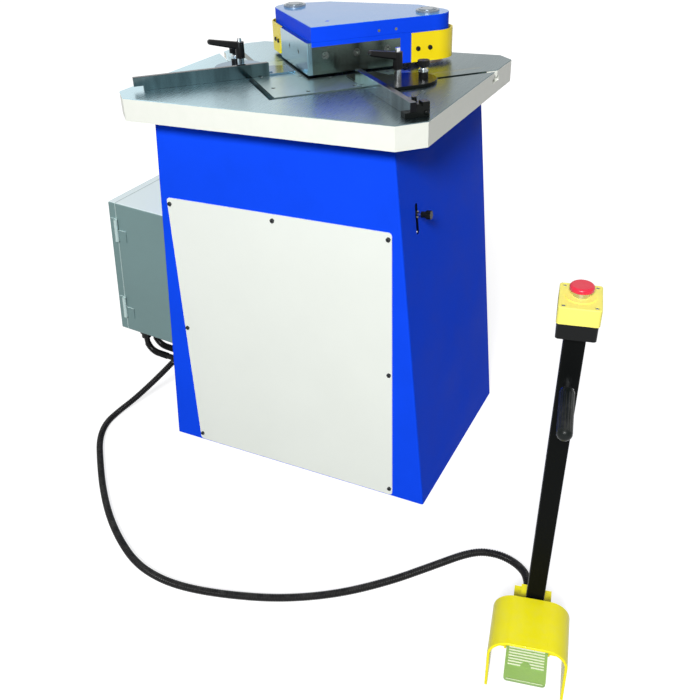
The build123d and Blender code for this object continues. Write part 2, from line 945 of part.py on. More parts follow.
def guard_holes(places):
    """Holes for a guard's screws, through guard and blade and into the holder."""
    far = face_blade_tail + guard_sheet + 1
    hole = post(0, 0, (-screw_grip - hole_spare, far), guard_screw_d + 2 * seat_gap)
    return [face_place(along, 0, guard_screw_level) * hole for along in places]


def guard_sheet_face(start, inside, overrun):
    """Plan of a bent guard: flat on the right-hand face, then round the end of the head."""
    shift = overrun / sqrt(2)

    def rim(radius, angle):
        turn = radians(angle)
        return (column_x + shift + radius * cos(turn), column_y + shift + radius * sin(turn))
    near = end_radius + inside
    far = near + guard_sheet
    middle = (guard_end_angle - 45) / 2
    start_in = line_point(start, inside)
    start_out = line_point(start, inside + guard_sheet)
    edges = [Line(start_in, rim(near, -45)),
             ThreePointArc(rim(near, -45), rim(near, middle), rim(near, guard_end_angle)),
             Line(rim(near, guard_end_angle), rim(far, guard_end_angle)),
             ThreePointArc(rim(far, guard_end_angle), rim(far, middle), rim(far, -45)),
             Line(rim(far, -45), start_out), Line(start_out, start_in)]
    return make_face(edges)


def guard_right():
    """Bent sheet guard round the right-hand end of the head."""
    height = holder_top - holder_bottom - guard_drop
    sheet = Pos(0, 0, holder_bottom) * extrude(guard_sheet_face(guard_start, 0, guard_overrun), amount=height)
    for hole in guard_holes(guard_screw_places):
        sheet -= hole
    return sheet


def guard_left():
    """The same on the left: it stands on the blade's tail, is taller and has a slanting front edge."""
    height = holder_top - holder_bottom + face_guard_rise
    face = guard_sheet_face(face_blade_front + seat_gap, face_blade_tail, 0)
    sheet = Pos(0, 0, holder_bottom) * extrude(face, amount=height)
    corner = make_face(Polyline((0, 0), (face_guard_cut, 0), (0, height), close=True))
    corner = extrude(corner, amount=face_blade_tail + guard_sheet + 1)
    sheet -= face_place(face_blade_front, 0, holder_bottom) * corner
    for hole in guard_holes(face_guard_screws):
        sheet -= hole
    return left_copy(sheet)


def columns():
    bottom = yoke_bottom - nut_height - column_tail
    return group([post(x, column_y, (bottom, head_top), column_d) for x in (-column_x, column_x)])


def column_caps():
    """Stepped caps on the columns, with two holes each for a pin spanner."""
    step_top = head_top + column_cap_height + column_cap_step
    caps = []
    for x in (-column_x, column_x):
        cap = post(x, column_y, (head_top, head_top + column_cap_height), column_cap_d)
        cap = chamfer(top_edges(cap), head_edge)
        step = post(x, column_y, (head_top, step_top), column_cap_step_d)
        cap += chamfer(top_edges(step), head_edge)
        for side in (-1, 1):
            spot = x + side * spanner_spacing / 2
            cap -= post(spot, column_y, (head_top + 2, step_top + 1), spanner_hole_d)
        caps.append(cap)
    return group(caps)


# Guides and drive
def guide_bushes():
    bushes = []
    bore = column_d + 2 * running_fit
    for x in (-column_x, column_x):
        bush = post(x, column_y, (table_top - bush_length, table_top - slide_gap), column_d + 2 * bush_wall)
        flange = column_d + 2 * bush_wall + 2 * bush_flange
        bush += post(x, column_y, (cabinet_height - bush_flange_thickness, cabinet_height), flange)
        bushes.append(bush - post(x, column_y, (table_top - bush_length - 1, table_top + 1), bore))
    return group(bushes)


def cylinder_bolt_points():
    x = cylinder_flange_width / 2 - cylinder_bolt_inset
    y = cylinder_flange_depth / 2 - cylinder_bolt_inset
    return [(sx * x, column_y + sy * y) for sx in (-1, 1) for sy in (-1, 1)]


def cylinder_body():
    body = post(0, column_y, (cylinder_bottom, cabinet_height), cylinder_d)
    wide = cylinder_flange_width / 2
    deep = cylinder_flange_depth / 2
    flange_z = (cabinet_height - cylinder_flange_thickness, cabinet_height)
    body += block((-wide, wide), (column_y - deep, column_y + deep), flange_z)
    chamber = (cylinder_bottom + cylinder_end, cabinet_height - cylinder_cap)
    body -= post(0, column_y, chamber, cylinder_bore)
    body -= post(0, column_y, (cylinder_bottom - 1, chamber[0] + 1), rod_d + 2 * running_fit)
    for x, y in cylinder_bolt_points():
        level = (cabinet_height - cylinder_flange_thickness - 1, cabinet_height + 1)
        body -= post(x, y, level, table_bolt_d + 2 * seat_gap)
    fitting_d = hose_d + 2 * fitting_wall
    body += along_y(0, (port_y, column_y - cylinder_d / 2 + fitting_wall), port_level, fitting_d)
    body -= along_y(0, (port_y - 1, column_y - cylinder_bore / 2 + fitting_wall), port_level, hose_d / 2)
    return body


def piston_rod():
    piston_level = cylinder_bottom + cylinder_length * 0.45
    rod = post(0, column_y, (yoke_top, piston_level), rod_d)
    piston = (piston_level - piston_thickness, piston_level)
    return rod + post(0, column_y, piston, cylinder_bore - 2 * running_fit)


def yoke():
    half = column_x + yoke_margin
    width = yoke_width / 2
    bar = block((-half, half), (column_y - width, column_y + width), (yoke_bottom, yoke_top))
    bar = chamfer(bar.edges().filter_by(Axis.Z), yoke_corner)
    for bore in column_bores((yoke_bottom - 1, yoke_top + 1)):
        bar -= bore
    return bar


def column_nuts():
    nuts = []
    for x in (-column_x, column_x):
        nut = post(x, column_y, (yoke_bottom - nut_height, yoke_bottom), nut_d)
        bore = (yoke_bottom - nut_height - 1, yoke_bottom + 1)
        nuts.append(nut - post(x, column_y, bore, column_d + 2 * seat_gap))
    return group(nuts)


# Power unit on the cabinet floor
def oil_tank():
    """Welded sheet tank with an open filler neck and the pump's outlet on its lid."""
    x = (tank_x - tank_width / 2, tank_x + tank_width / 2)
    y = (tank_y - tank_depth / 2, tank_y + tank_depth / 2)
    tank = block(x, y, (cabinet_sheet, tank_top))
    tank = fillet(tank.edges().filter_by(Axis.Z), tank_corner)
    neck = (x[1] - filler_inset, y[1] - filler_inset)
    tank += post(*neck, (tank_top, tank_top + filler_height), filler_d)
    tank -= block((x[0] + tank_sheet, x[1] - tank_sheet), (y[0] + tank_sheet, y[1] - tank_sheet),
                  (cabinet_sheet + tank_sheet, tank_top - tank_sheet))
    neck_bore = filler_d - 2 * tank_sheet
    tank -= post(*neck, (tank_top - tank_sheet - 1, tank_top + filler_height + 1), neck_bore)
    outlet = (tank_top, tank_top + outlet_height)
    return tank + post(tank_x + hose_offset, hose_y, outlet, hose_d + 2 * fitting_wall)


def pump_motor():
    """Flanged motor with cooling fins and a fan cowl, upright on the tank's lid."""
    x = tank_x + motor_offset
    body = (tank_top + motor_foot, tank_top + motor_height - motor_cowl)
    core_d = motor_d - 2 * motor_fin_depth
    motor = post(x, tank_y, (tank_top, body[0]), motor_d + 2 * motor_flange_rim)
    motor += post(x, tank_y, body, core_d)
    motor += post(x, tank_y, (body[1], tank_top + motor_height), motor_d)
    half = motor_fin_width / 2
    for fin in range(motor_fins):
        blade = block((core_d / 2 - half, motor_d / 2 - 1), (-half, half), body)
        motor += Pos(x, tank_y, 0) * Rot(0, 0, fin * 360 / motor_fins) * blade
    return motor


def pressure_hose():
    """Hose from the pump's outlet up to the cylinder's side port."""
    x = tank_x + hose_offset
    low = tank_top + outlet_height
    points = [(x, hose_y, low), (x, hose_y, low + hose_rise), (x / 2, hose_y - hose_bow, port_level - hose_lead),
              (0, hose_y, port_level), (0, port_y, port_level)]
    path = FilletPolyline(*points, radius=turn_radii(points))
    ring = Plane(origin=path @ 0, z_dir=path % 0) * Circle(hose_d / 2)
    return sweep(ring, path=path)


def turn_radii(points):
    """Largest tangent arc that the two runs at each inner point leave room for."""
    radii = []
    for before, point, after in zip(points, points[1:], points[2:]):
        first = Vector(*point) - Vector(*before)
        second = Vector(*after) - Vector(*point)
        half = radians(first.get_angle(second)) / 2
        radii.append(0.45 * min(first.length, second.length) * cos(half) / sin(half))
    return radii


# Stroke setting: a slider in the wall's slot, clamped by a knob
def stroke_slider():
    """Stud with a plate and a limit switch inside the wall, a guide in its slot and a collar outside it."""
    inside = -cabinet_sheet - slide_gap
    behind = inside - stroke_plate
    y, z = stroke_y, stroke_height
    wide, tall = stroke_plate_width / 2, stroke_plate_height / 2
    deep, low = stroke_switch_width / 2, stroke_switch_height / 2
    slider = along_x((behind, stroke_collar_reach + stroke_knob_reach - stud_cover - 1), y, z, stroke_stud_d)
    slider += block((behind, inside), (y - wide, y + wide), (z - tall, z + tall))
    slider += block((behind - stroke_switch_depth, behind), (y - deep, y + deep), (z - low, z + low))
    slider += along_x((inside, slide_gap), y, z, stroke_slot_width - 2 * stroke_slot_play)
    slider += along_x((slide_gap, stroke_collar_rim), y, z, stroke_collar_d)
    slider += along_x((stroke_collar_rim, stroke_collar_reach - slide_gap), y, z, stroke_neck_d)
    return right_wall * slider


def stroke_knob():
    start = stroke_collar_reach
    half = start + stroke_knob_reach / 2
    end = start + stroke_knob_reach
    knob = along_x((start, half), stroke_y, stroke_height, stroke_knob_d * 0.7)
    knob += along_x((half, end), stroke_y, stroke_height, stroke_knob_d)
    cut = along_x((half - 1, end + 1), 0, stroke_knob_d / 2 + 1, stroke_notch_d)
    for notch in range(stroke_knob_notches):
        knob -= Pos(0, stroke_y, stroke_height) * Rot(notch * 360 / stroke_knob_notches, 0, 0) * cut
    hole = along_x((start - 1, end - stud_cover), stroke_y, stroke_height, stroke_stud_d + 2 * running_fit)
    return right_wall * (knob - hole)


# Fences: a round-ended plate that slides along the T-slot, with a bar across it and two clamps
def fence_plate():
    """Plate with its disc over the T-slot and a thin nose towards the cutting line."""
    middle = fence_along + fence_disc_offset
    outline = Pos(middle, -slot_middle) * Circle(fence_disc_d / 2)
    outline += Pos((bar_back + middle) / 2, -slot_middle) * Rectangle(middle - bar_back, fence_disc_d)
    plate = chamfer(top_edges(extrude(outline, amount=fence_plate_thickness)), fence_edge)
    nose = [(fence_along, fence_nose), (fence_along, fence_bar_inner), (bar_back, fence_bar_inner),
            (bar_back, slot_middle), (middle, slot_middle), (middle - fence_nose_taper, fence_nose)]
    nose_face = Polygon(*[(along, -out) for along, out in nose], align=None)
    plate += extrude(nose_face, amount=fence_nose_thickness)
    plate = right_line * (Pos(0, 0, fence_bottom) * plate)
    for along in (lever_along, knob_along):
        plate -= line_post(along, slot_middle, (fence_bottom - 1, fence_plate_top + 1), stud_d + 2 * seat_gap)
    return plate


def fence_bar():
    """Fence bar with a notch under its outer end."""
    bar_z = (fence_bottom, fence_bottom + fence_bar_height)
    bar = line_block((fence_along, bar_back), (fence_bar_inner, bar_end), bar_z)
    bar = chamfer(top_edges(bar), fence_edge)
    notch_z = (fence_bottom - 1, fence_bottom + bar_notch_height)
    notch_out = (bar_end - bar_notch_length, bar_end + 1)
    return bar - line_block((fence_along - 1, bar_back + 1), notch_out, notch_z)


def fence_studs():
    """T-bolts of one fence: a foot in the slot and a stud up through the plate."""
    foot_top = table_top - slot_neck - tee_gap
    foot_bottom = table_top - slot_neck - slot_foot_height + tee_gap
    half = tee_length / 2
    side = slot_foot_width / 2 - tee_gap
    shapes = []
    out = (slot_middle - side, slot_middle + side)
    for along, top in ((lever_along, lever_top + lever_stud_show), (knob_along, knob_top - stud_cover - 1)):
        bolt = line_block((along - half, along + half), out, (foot_bottom, foot_top))
        bolt += line_post(along, slot_middle, (foot_top, top), stud_d)
        shapes.append(bolt)
    return group(shapes)


def clamp_lever(angle):
    """Clamping lever on its stud; the angle is that of its rising arm from the cutting line."""
    foot = fence_plate_top + slide_gap
    hub = foot + lever_foot_height
    lever = post(0, 0, (foot, hub), lever_foot_d)
    lever += post(0, 0, (hub, lever_top), lever_hub_d)
    root = Circle(lever_root_d / 2).edge()
    tip = (Pos(lever_arm_length, 0) * Circle(lever_tip_d / 2)).edge()
    arm = extrude(Plane.XZ * make_hull([root, tip]), amount=lever_arm_width / 2, both=True)
    arm = fillet([edge for face in arm.faces().filter_by(Axis.Y) for edge in face.edges()], lever_edge)
    lever += Pos(0, 0, lever_top - lever_root_d / 2) * Rot(0, 0, angle) * Rot(0, -lever_rise, 0) * arm
    lever -= post(0, 0, (foot - 1, lever_top + lever_hub_height), stud_d + 2 * running_fit)
    return right_line * (Pos(lever_along, -slot_middle, 0) * lever)


def fence_knob():
    """Grooved nut with a collar and a neck, on the second stud."""
    collar = fence_plate_top + slide_gap
    neck = collar + knob_collar_height
    low = neck + knob_neck_height
    knob = post(0, 0, (low, knob_top), fence_knob_d)
    knob = chamfer(top_edges(knob), fence_edge)
    for step in range(knob_grooves):
        turn = step * 360 / knob_grooves
        groove = post(fence_knob_d / 2 + knob_groove_lift, 0, (low - 1, knob_top + 1), knob_groove_d)
        knob -= Rot(0, 0, turn) * groove
    knob += post(0, 0, (collar, neck), knob_collar_d)
    knob += post(0, 0, (neck, low), knob_neck_d)
    knob -= post(0, 0, (collar - 1, knob_top - stud_cover), stud_d + 2 * running_fit)
    return right_line * (Pos(knob_along, -slot_middle, 0) * knob)


def bar_stop():
    """Stop at the outer end of the right-hand bar: a finger through its notch and a body behind it."""
    far = bar_back + stop_depth
    base = fence_bottom
    stop = line_block((bar_back, far), (bar_end - stop_width, bar_end), (base, base + stop_height))
    stop = chamfer(top_edges(stop), stop_edge)
    finger_z = (base, base + bar_notch_height - slide_gap)
    finger_out = (bar_end - bar_notch_length + slide_gap, bar_end)
    stop += line_block((fence_along - stop_finger, far), finger_out, finger_z)
    upright_z = (base, base + stop_upright_height)
    stop += line_block((far - stop_upright_depth, far), (bar_end - stop_upright_width, bar_end), upright_z)
    screw = (bar_back + stop_screw_d * 0.6, bar_end - stop_width + stop_screw_d * 0.7)
    stop += line_post(*screw, (base, base + stop_screw_height), stop_screw_d)
    tip = Pos(far - stop_upright_depth / 2, -bar_end, base + bar_notch_height * 0.7) * Sphere(stop_tip_d / 2)
    return stop + right_line * tip


# Control box: a sheet body on the leaning wall, and a hinged door on its outer side
def box_shell(x):
    """Solid of the box between two distances from the wall, and the room inside its sheet."""
    outer = block(x, (box_front_y, box_back_y), (box_bottom, box_top))
    outer = fillet(outer.edges().filter_by(Axis.X), box_corner)
    room_y = (box_front_y + box_sheet, box_back_y - box_sheet)
    return outer, room_y, (box_bottom + box_sheet, box_top - box_sheet)


def control_box():
    """Tray with a turned-in rim on its open side."""
    outer, y, z = box_shell((-seam, 0))
    body = outer - block((-seam + box_sheet, -box_sheet), y, z)
    rim_y = (y[0] + box_rim, y[1] - box_rim)
    rim_z = (z[0] + box_rim, z[1] - box_rim)
    body -= block((-seam - 1, -seam + box_sheet + 1), rim_y, rim_z)
    for out, place in gland_spots():
        floor_z = (box_bottom - 1, box_bottom + box_sheet + 1)
        body -= post(-out, place, floor_z, gland_thread_d + 2 * seat_gap)
    return left_wall * body


def gland_spots():
    """Glands in the box's floor: how far out from the wall, and where along it."""
    return [(link_out, y) for y in link_places] + [(lead_out, lead_y), (mains_out, mains_y)]


def box_door():
    """Shallow tray with the moving hinge halves."""
    outer, y, z = box_shell((-box_depth, -seam - door_gap))
    door = outer - block((-box_depth + box_sheet, -seam), y, z)
    for level in hinge_levels:
        half = (level + hinge_height / 2 + hinge_play, level + hinge_height)
        leaf_x = (-box_depth + hinge_sheet + 1, -seam - door_gap)
        door += block(leaf_x, (box_front_y - hinge_sheet, box_front_y), half)
        door += post(-seam, hinge_axis_y, half, hinge_knuckle_d)
        door += block((-seam - hinge_knuckle_d / 2, -seam - door_gap), (hinge_axis_y, box_front_y), half)
        door -= post(-seam, hinge_axis_y, (half[0] - 1, half[1] + 1), hinge_pin_d + 2 * running_fit)
    lock_x = (-box_depth - 1, -box_depth + box_sheet + 2)
    door -= along_x(lock_x, box_back_y - lock_inset, lock_level, lock_d + 2 * running_fit)
    return left_wall * door


def box_hinge_leaves():
    """Fixed hinge halves on the box, each with its pin."""
    leaves = []
    for level in hinge_levels:
        half = (level, level + hinge_height / 2)
        leaf = block((-seam + 1, -seam + hinge_leaf), (box_front_y - hinge_sheet, box_front_y), half)
        leaf += post(-seam, hinge_axis_y, half, hinge_knuckle_d)
        leaf += block((-seam, -seam + hinge_knuckle_d / 2), (hinge_axis_y, box_front_y - slide_gap), half)
        leaf += post(-seam, hinge_axis_y, (level, level + hinge_height - 1), hinge_pin_d)
        leaves.append(left_wall * leaf)
    return group(leaves)


def door_lock():
    """Quarter-turn lock in the door; its cam hangs down while unlocked."""
    y, z = box_back_y - lock_inset, lock_level
    face = -box_depth - lock_rim
    shaft = -box_depth + lock_body
    cam = -seam + box_sheet + 1
    half = lock_cam_width / 2
    slot, reach = lock_key_width / 2, lock_key_length / 2
    lock = along_x((face, -box_depth - slide_gap), y, z, lock_d + 2 * lock_rim)
    lock += along_x((-box_depth - slide_gap, shaft), y, z, lock_d)
    lock += along_x((shaft, cam + lock_cam_sheet), y, z, lock_shaft_d)
    lock += block((cam, cam + lock_cam_sheet), (y - half, y + half), (z - lock_cam, z + half))
    lock -= block((face - 1, face + lock_rim / 2), (y - slot, y + slot), (z - reach, z + reach))
    return left_wall * lock


def control_gear():
    """Mounting plate, rail, switchgear and terminal strip inside the box."""
    front = -box_sheet - gear_plate
    rail_front = front - rail_thickness
    y = (box_front_y + gear_inset, box_back_y - gear_inset)
    z = (box_bottom + gear_foot, box_top - gear_inset)
    rail_z = (z[0] + rail_level, z[0] + rail_level + rail_height)
    device_z = (z[0] + device_level, z[0] + device_level + device_height)
    strip_z = (z[0] + terminal_level, z[0] + terminal_level + terminal_height)
    shapes = [block((front, -box_sheet), y, z)]
    shapes.append(block((rail_front, front), (y[0] + rail_inset, y[1] - rail_inset), rail_z))
    for index, width in enumerate(device_widths):
        start = y[0] + device_start + index * device_pitch
        shapes.append(block((rail_front - device_depth, rail_front), (start, start + width), device_z))
    strip_y = (y[0] + terminal_inset, y[1] - terminal_inset)
    shapes.append(block((front - terminal_depth, front), strip_y, strip_z))
    return group([left_wall * shape for shape in shapes])


# Conduit: ribbed, two loops from the control box into the cabinet, one along the floor to the foot station
def gland():
    """Cable gland along -Z: its flange face is at the origin, and its thread goes up through a wall."""
    nut = Pos(0, 0, -gland_hex_height) * hex_ring(gland_hex, gland_hex_height, conduit_bore)
    body = post(0, 0, (-gland_reach, -gland_hex_height), gland_nut_d)
    body = chamfer(body.edges().group_by(Axis.Z)[0], (gland_nut_d - gland_thread_d) / 2)
    tail = cabinet_sheet + gland_tail
    thread = post(0, 0, (0, tail), gland_thread_d)
    return nut + body + thread - post(0, 0, (-gland_reach - 1, tail + 1), conduit_bore)


def conduit_glands():
    shapes = [left_wall * (Pos(-out, y, box_bottom) * gland()) for out, y in gland_spots()]
    shapes += [left_wall * (Pos(0, y, link_level) * Rot(0, 90, 0) * gland()) for y in link_places]
    shapes.append(station * (Pos(station_gland_x, housing_end, station_gland_z) * Rot(90, 0, 0) * gland()))
    return group(shapes)


def place_of(location, x, y, z):
    point = (location * Pos(x, y, z)).position
    return (point.X, point.Y, point.Z)


def link_route(y):
    """Down from the box and round into the cabinet's wall."""
    start = place_of(left_wall, -link_out, y, box_bottom - gland_reach)
    corner = place_of(left_wall, -link_out, y, link_level)
    return [start, corner, place_of(left_wall, -gland_reach, y, link_level)]


def floor_route():
    """Hand-chosen points: down from the box, round in front of the cabinet, to the station's back."""
    z = conduit_d / 2
    start = place_of(left_wall, -lead_out, lead_y, box_bottom - gland_reach)
    drop = place_of(left_wall, -lead_out, lead_y, box_bottom - gland_reach - lead_drop)
    hang = [(-421, -97, 146), (-453, -138, 105), (-490, -168, 64), (-524, -210, 28), (-546, -262, z + 2)]
    floor = [(-544, -316, z), (-512, -378, z), (-452, -446, z), (-376, -526, z), (-296, -598, z),
             (-216, -654, z), (-140, -693, z), (-66, -707, z), (8, -702, z), (96, -680, z), (196, -643, z),
             (292, -584, z), (374, -508, z), (436, -434, z), (502, -354, z), (552, -338, z), (600, -354, z + 5)]
    before = place_of(station, station_gland_x, housing_end + gland_reach + lead_straight, station_gland_z)
    end = place_of(station, station_gland_x, housing_end + gland_reach, station_gland_z)
    return [start, drop] + hang + floor + [before, end]


def ribbed_hose(points, radii, ribs):
    """Hose with plain ends one diameter long, ribs between them, and a bore right through."""
    path = FilletPolyline(*points, radius=radii)
    length = path.length
    pitch = (length - 2 * conduit_d) / ribs
    stations = [(0, conduit_root_d)]
    for rib in range(ribs):
        start = conduit_d + rib * pitch
        stations += [(start + pitch * 0.10, conduit_root_d), (start + pitch * 0.30, conduit_d)]
        stations += [(start + pitch * 0.70, conduit_d), (start + pitch * 0.90, conduit_root_d)]
    stations.append((length, conduit_root_d))
    side = Vector(0, 1, 0)
    rings = []
    for distance, diameter in stations:
        here = path.position_at(distance / length)
        ahead = path.tangent_at(distance / length)
        side = (side - ahead * ahead.dot(side)).normalized()
        rings.append(Plane(origin=here, x_dir=side, z_dir=ahead) * Circle(diameter / 2))
    hose = loft(rings, ruled=True)
    ring = Plane(origin=path @ 0, z_dir=path % 0) * Circle(conduit_bore / 2)
    return hose - sweep(ring, path=path)


def conduit_link():
    return group([ribbed_hose(link_route(y), [link_bend], link_ribs) for y in link_places])


def conduit_floor():
    points = floor_route()
    return ribbed_hose(points, turn_radii(points), floor_ribs)


# Foot station: a hooded pedal, with a leaning post for the stop button and a handle
def foot_hood():
    """Arched cover with a closed back, open in front."""
    y = (hood_front, hood_back)
    half = hood_width / 2
    outer = block((-half, half), y, (0, hood_height))
    outer = fillet(outer.edges().filter_by(Axis.Y).group_by(Axis.Z)[-1], hood_corner)
    inside = half - hood_wall
    inner = block((-inside, inside), (y[0] - 1, y[1] - hood_wall), (-1, hood_height - hood_wall))
    inner = fillet(inner.edges().filter_by(Axis.Y).group_by(Axis.Z)[-1], hood_corner - hood_wall)
    hood = outer - inner
    hood = fillet(hood.edges().group_by(Axis.Y)[0], hood_lip)
    sill = (-1, foot_plate_thickness + seat_gap)
    return station * (hood - block((-inside, inside), (y[0], y[1] + 1), sill))


def foot_base():
    """Floor plate, pedal cheeks and the housing with the post's socket."""
    half = foot_plate_width / 2
    base = block((-half, half), (foot_plate_start, foot_plate_end), (0, foot_plate_thickness))
    tongue = pedal_width / 2 - foot_tongue_inset
    base += block((-tongue, tongue), (foot_tongue_start, foot_plate_start), (0, foot_plate_thickness))
    wide = housing_width / 2
    narrow = ear_width / 2
    socket_top = housing_height + ear_height
    base += block((-wide, wide), (hood_back, housing_end), (0, housing_height))
    ear_y = (hood_back + ear_inset, housing_end - ear_inset)
    base += block((-narrow, narrow), ear_y, (housing_height, socket_top))
    room = post_size / 2 + seat_gap
    socket_z = (post_bottom, socket_top + post_size)
    base -= post_tilt * block((-room, room), (post_back - room, post_back + room), socket_z)
    for side in (-1, 1):
        x = sorted((side * (cheek_out - cheek_width), side * cheek_out))
        cheek_y = (pedal_pivot_y - cheek_reach, hood_back - hood_wall)
        base += block(x, cheek_y, (0, pedal_pivot_z + cheek_rise))
        base -= along_x((x[0] - 1, x[1] + 1), pedal_pivot_y, pedal_pivot_z, pedal_pin_d + 2 * seat_gap)
    tail = (housing_end - cabinet_sheet - 2 * gland_tail, housing_end + 1)
    base -= along_y(station_gland_x, tail, station_gland_z, gland_thread_d + 2 * seat_gap)
    return station * base


def pedal_pin():
    half = cheek_out + cheek_gap
    return station * along_x((-half, half), pedal_pivot_y, pedal_pivot_z, pedal_pin_d)


def foot_pedal():
    """Sloping pedal plate with ribs and a front lip, hung on its pin at the back."""
    half = pedal_width / 2
    plate = block((-half, half), (-pedal_length, 0), (-pedal_thickness, 0))
    plate = fillet(plate.edges().filter_by(Axis.Z).group_by(Axis.Y)[0], pedal_corner)
    plate += along_x((-half, half), 0, -pedal_thickness / 2, pedal_pin_d + 2 * pedal_boss_wall)
    rib_half = half - pedal_rib_inset
    rib_z = (-1, pedal_rib_height)
    first = -pedal_length * pedal_first_rib
    pitch = pedal_length * pedal_rib_pitch
    for rib in range(pedal_ribs):
        y = first - rib * pitch
        plate += block((-rib_half, rib_half), (y - pedal_rib_width / 2, y + pedal_rib_width / 2), rib_z)
    tab_y = first - (pedal_ribs - 1) * pitch - pedal_rib_width / 2
    front = block((-pedal_tab_d, pedal_tab_d), (tab_y - pedal_tab_d, tab_y), (-2, pedal_lip))
    plate -= post(0, tab_y, (0, pedal_lip), pedal_tab_d + 2 * pedal_tab_gap) - front
    plate += post(0, tab_y, (-1, pedal_tab_height), pedal_tab_d) - front
    plate += along_x((-rib_half, rib_half), pedal_lip / 2 - pedal_length, 0, pedal_lip)
    plate -= along_x((-half - 1, half + 1), 0, -pedal_thickness / 2, pedal_pin_d + 2 * running_fit)
    hang = Pos(0, pedal_pivot_y, pedal_pivot_z) * Rot(pedal_slope, 0, 0) * Pos(0, 0, pedal_thickness / 2)
    return station * (hang * plate)


def foot_switch():
    """Switch under the pedal, with its plunger."""
    half = switch_width / 2
    body = block((-half, half), switch_place, (foot_plate_thickness, switch_top))
    return station * (body + post(0, plunger_y, (switch_top, plunger_top), plunger_d))


def station_post():
    half = post_size / 2
    outer = block((-half, half), (post_back - half, post_back + half), (post_bottom, post_top))
    outer = fillet(outer.edges().filter_by(Axis.Z), post_corner)
    inside = half - post_wall
    inner_z = (post_bottom - 1, post_top + 1)
    inner = block((-inside, inside), (post_back - inside, post_back + inside), inner_z)
    wall_y = (post_front - 1, post_front + post_wall + 1)
    stud_hole = along_y(0, wall_y, handle_height, handle_stud_d + 2 * seat_gap)
    return mast * (outer - inner - stud_hole)


def handle_stud():
    """Collar, stud and retaining head that carry the turning grip."""
    head = (grip_end + grip_end_wall + slide_gap, grip_end + grip_end_wall + slide_gap + handle_head)
    stud = along_y(0, (head[0], post_front + post_wall + 8), handle_height, handle_stud_d)
    stud += along_y(0, (post_front - handle_collar, post_front), handle_height, handle_collar_d)
    return mast * (stud + along_y(0, head, handle_height, handle_head_d))


def handle_grip():
    """Fluted grip with a domed end, free to turn on its stud."""
    grip = along_y(0, (grip_end, grip_start), handle_height, grip_d)
    for flute in range(grip_flutes):
        groove_y = (grip_end - 1, grip_start - grip_shoulder)
        groove = along_y(0, groove_y, grip_d / 2 + grip_flute_lift, grip_flute_d)
        grip -= Pos(0, 0, handle_height) * Rot(0, flute * 360 / grip_flutes, 0) * groove
    dome = along_y(0, (grip_end, grip_start), handle_height, grip_d)
    dome = fillet(dome.edges().filter_by(GeomType.CIRCLE).group_by(Axis.Y)[0], grip_dome)
    grip = grip & dome
    bore = (grip_end + grip_end_wall, grip_start + 1)
    grip -= along_y(0, bore, handle_height, handle_stud_d + 2 * running_fit)
    head = (grip_end + grip_end_wall, grip_end + grip_end_wall + handle_head + 2 * slide_gap)
    return mast * (grip - along_y(0, head, handle_height, handle_head_d + 2 * slide_gap))


def estop_block(inset, z):
    """Block on the post's axis, as wide and deep as the stop's box less an inset all round."""
    x = estop_width / 2 - inset
    y = estop_depth / 2 - inset
    return block((-x, x), (post_back - y, post_back + y), z)


def estop_corners():
    x = estop_width / 2 - estop_screw_inset
    y = estop_depth / 2 - estop_screw_inset
    return [(sx * x, post_back + sy * y) for sx in (-1, 1) for sy in (-1, 1)]


def estop_base():
    top = post_top + estop_base_height
    base = estop_block(estop_lip, (post_top, top))
    base = fillet(base.edges().filter_by(Axis.Z), estop_corner)
    base -= estop_block(estop_lip + estop_wall, (post_top + estop_wall, top + 1))
    for x, y in estop_corners():
        base += post(x, y, (post_top, top), estop_boss_d)
        base -= post(x, y, (post_top + 6, top + 1), estop_screw_d + 2 * seat_gap)
    return mast * base


def estop_cover():
    """Cover with the legend plate round the button's stem."""
    bottom = post_top + estop_base_height
    cover = estop_block(0, (bottom, estop_level))
    cover = fillet(cover.edges().filter_by(Axis.Z), estop_corner)
    cover = fillet(top_edges(cover), 1.5)
    cover -= estop_block(estop_wall, (bottom - 1, estop_level - estop_wall))
    for x, y in estop_corners():
        cover += post(x, y, (bottom, estop_level - 1), estop_boss_d)
        cover -= post(x, y, (bottom - 1, estop_level + 1), estop_screw_d + 4 * seat_gap)
        cover -= post(x, y, (estop_level - estop_screw_d, estop_level + 1), 2.2 * estop_screw_d)
    cover += post(0, post_back, (estop_level - 1, estop_level + legend_thickness), legend_d)
    return mast * (cover - post(0, post_back, (bottom - 1, estop_level + 30), estop_stem_d + 2 * running_fit))


def estop_screws():
    head = estop_screw_d * 0.8
    screw = cap_screw(estop_screw_d, estop_cover_height - estop_screw_d + 12, head)
    top = estop_level - estop_screw_d + head
    return group([mast * (Pos(x, y, top) * screw) for x, y in estop_corners()])


def estop_button():
    """Mushroom button on its stem; it travels straight down the post's axis."""
    low = estop_level + mushroom_lift
    button = post(0, post_back, (estop_level - stem_depth, low), estop_stem_d)
    head = post(0, post_back, (low, low + mushroom_height), mushroom_d)
    head = fillet(top_edges(head), mushroom_height * 0.55)
    return mast * (button + head)


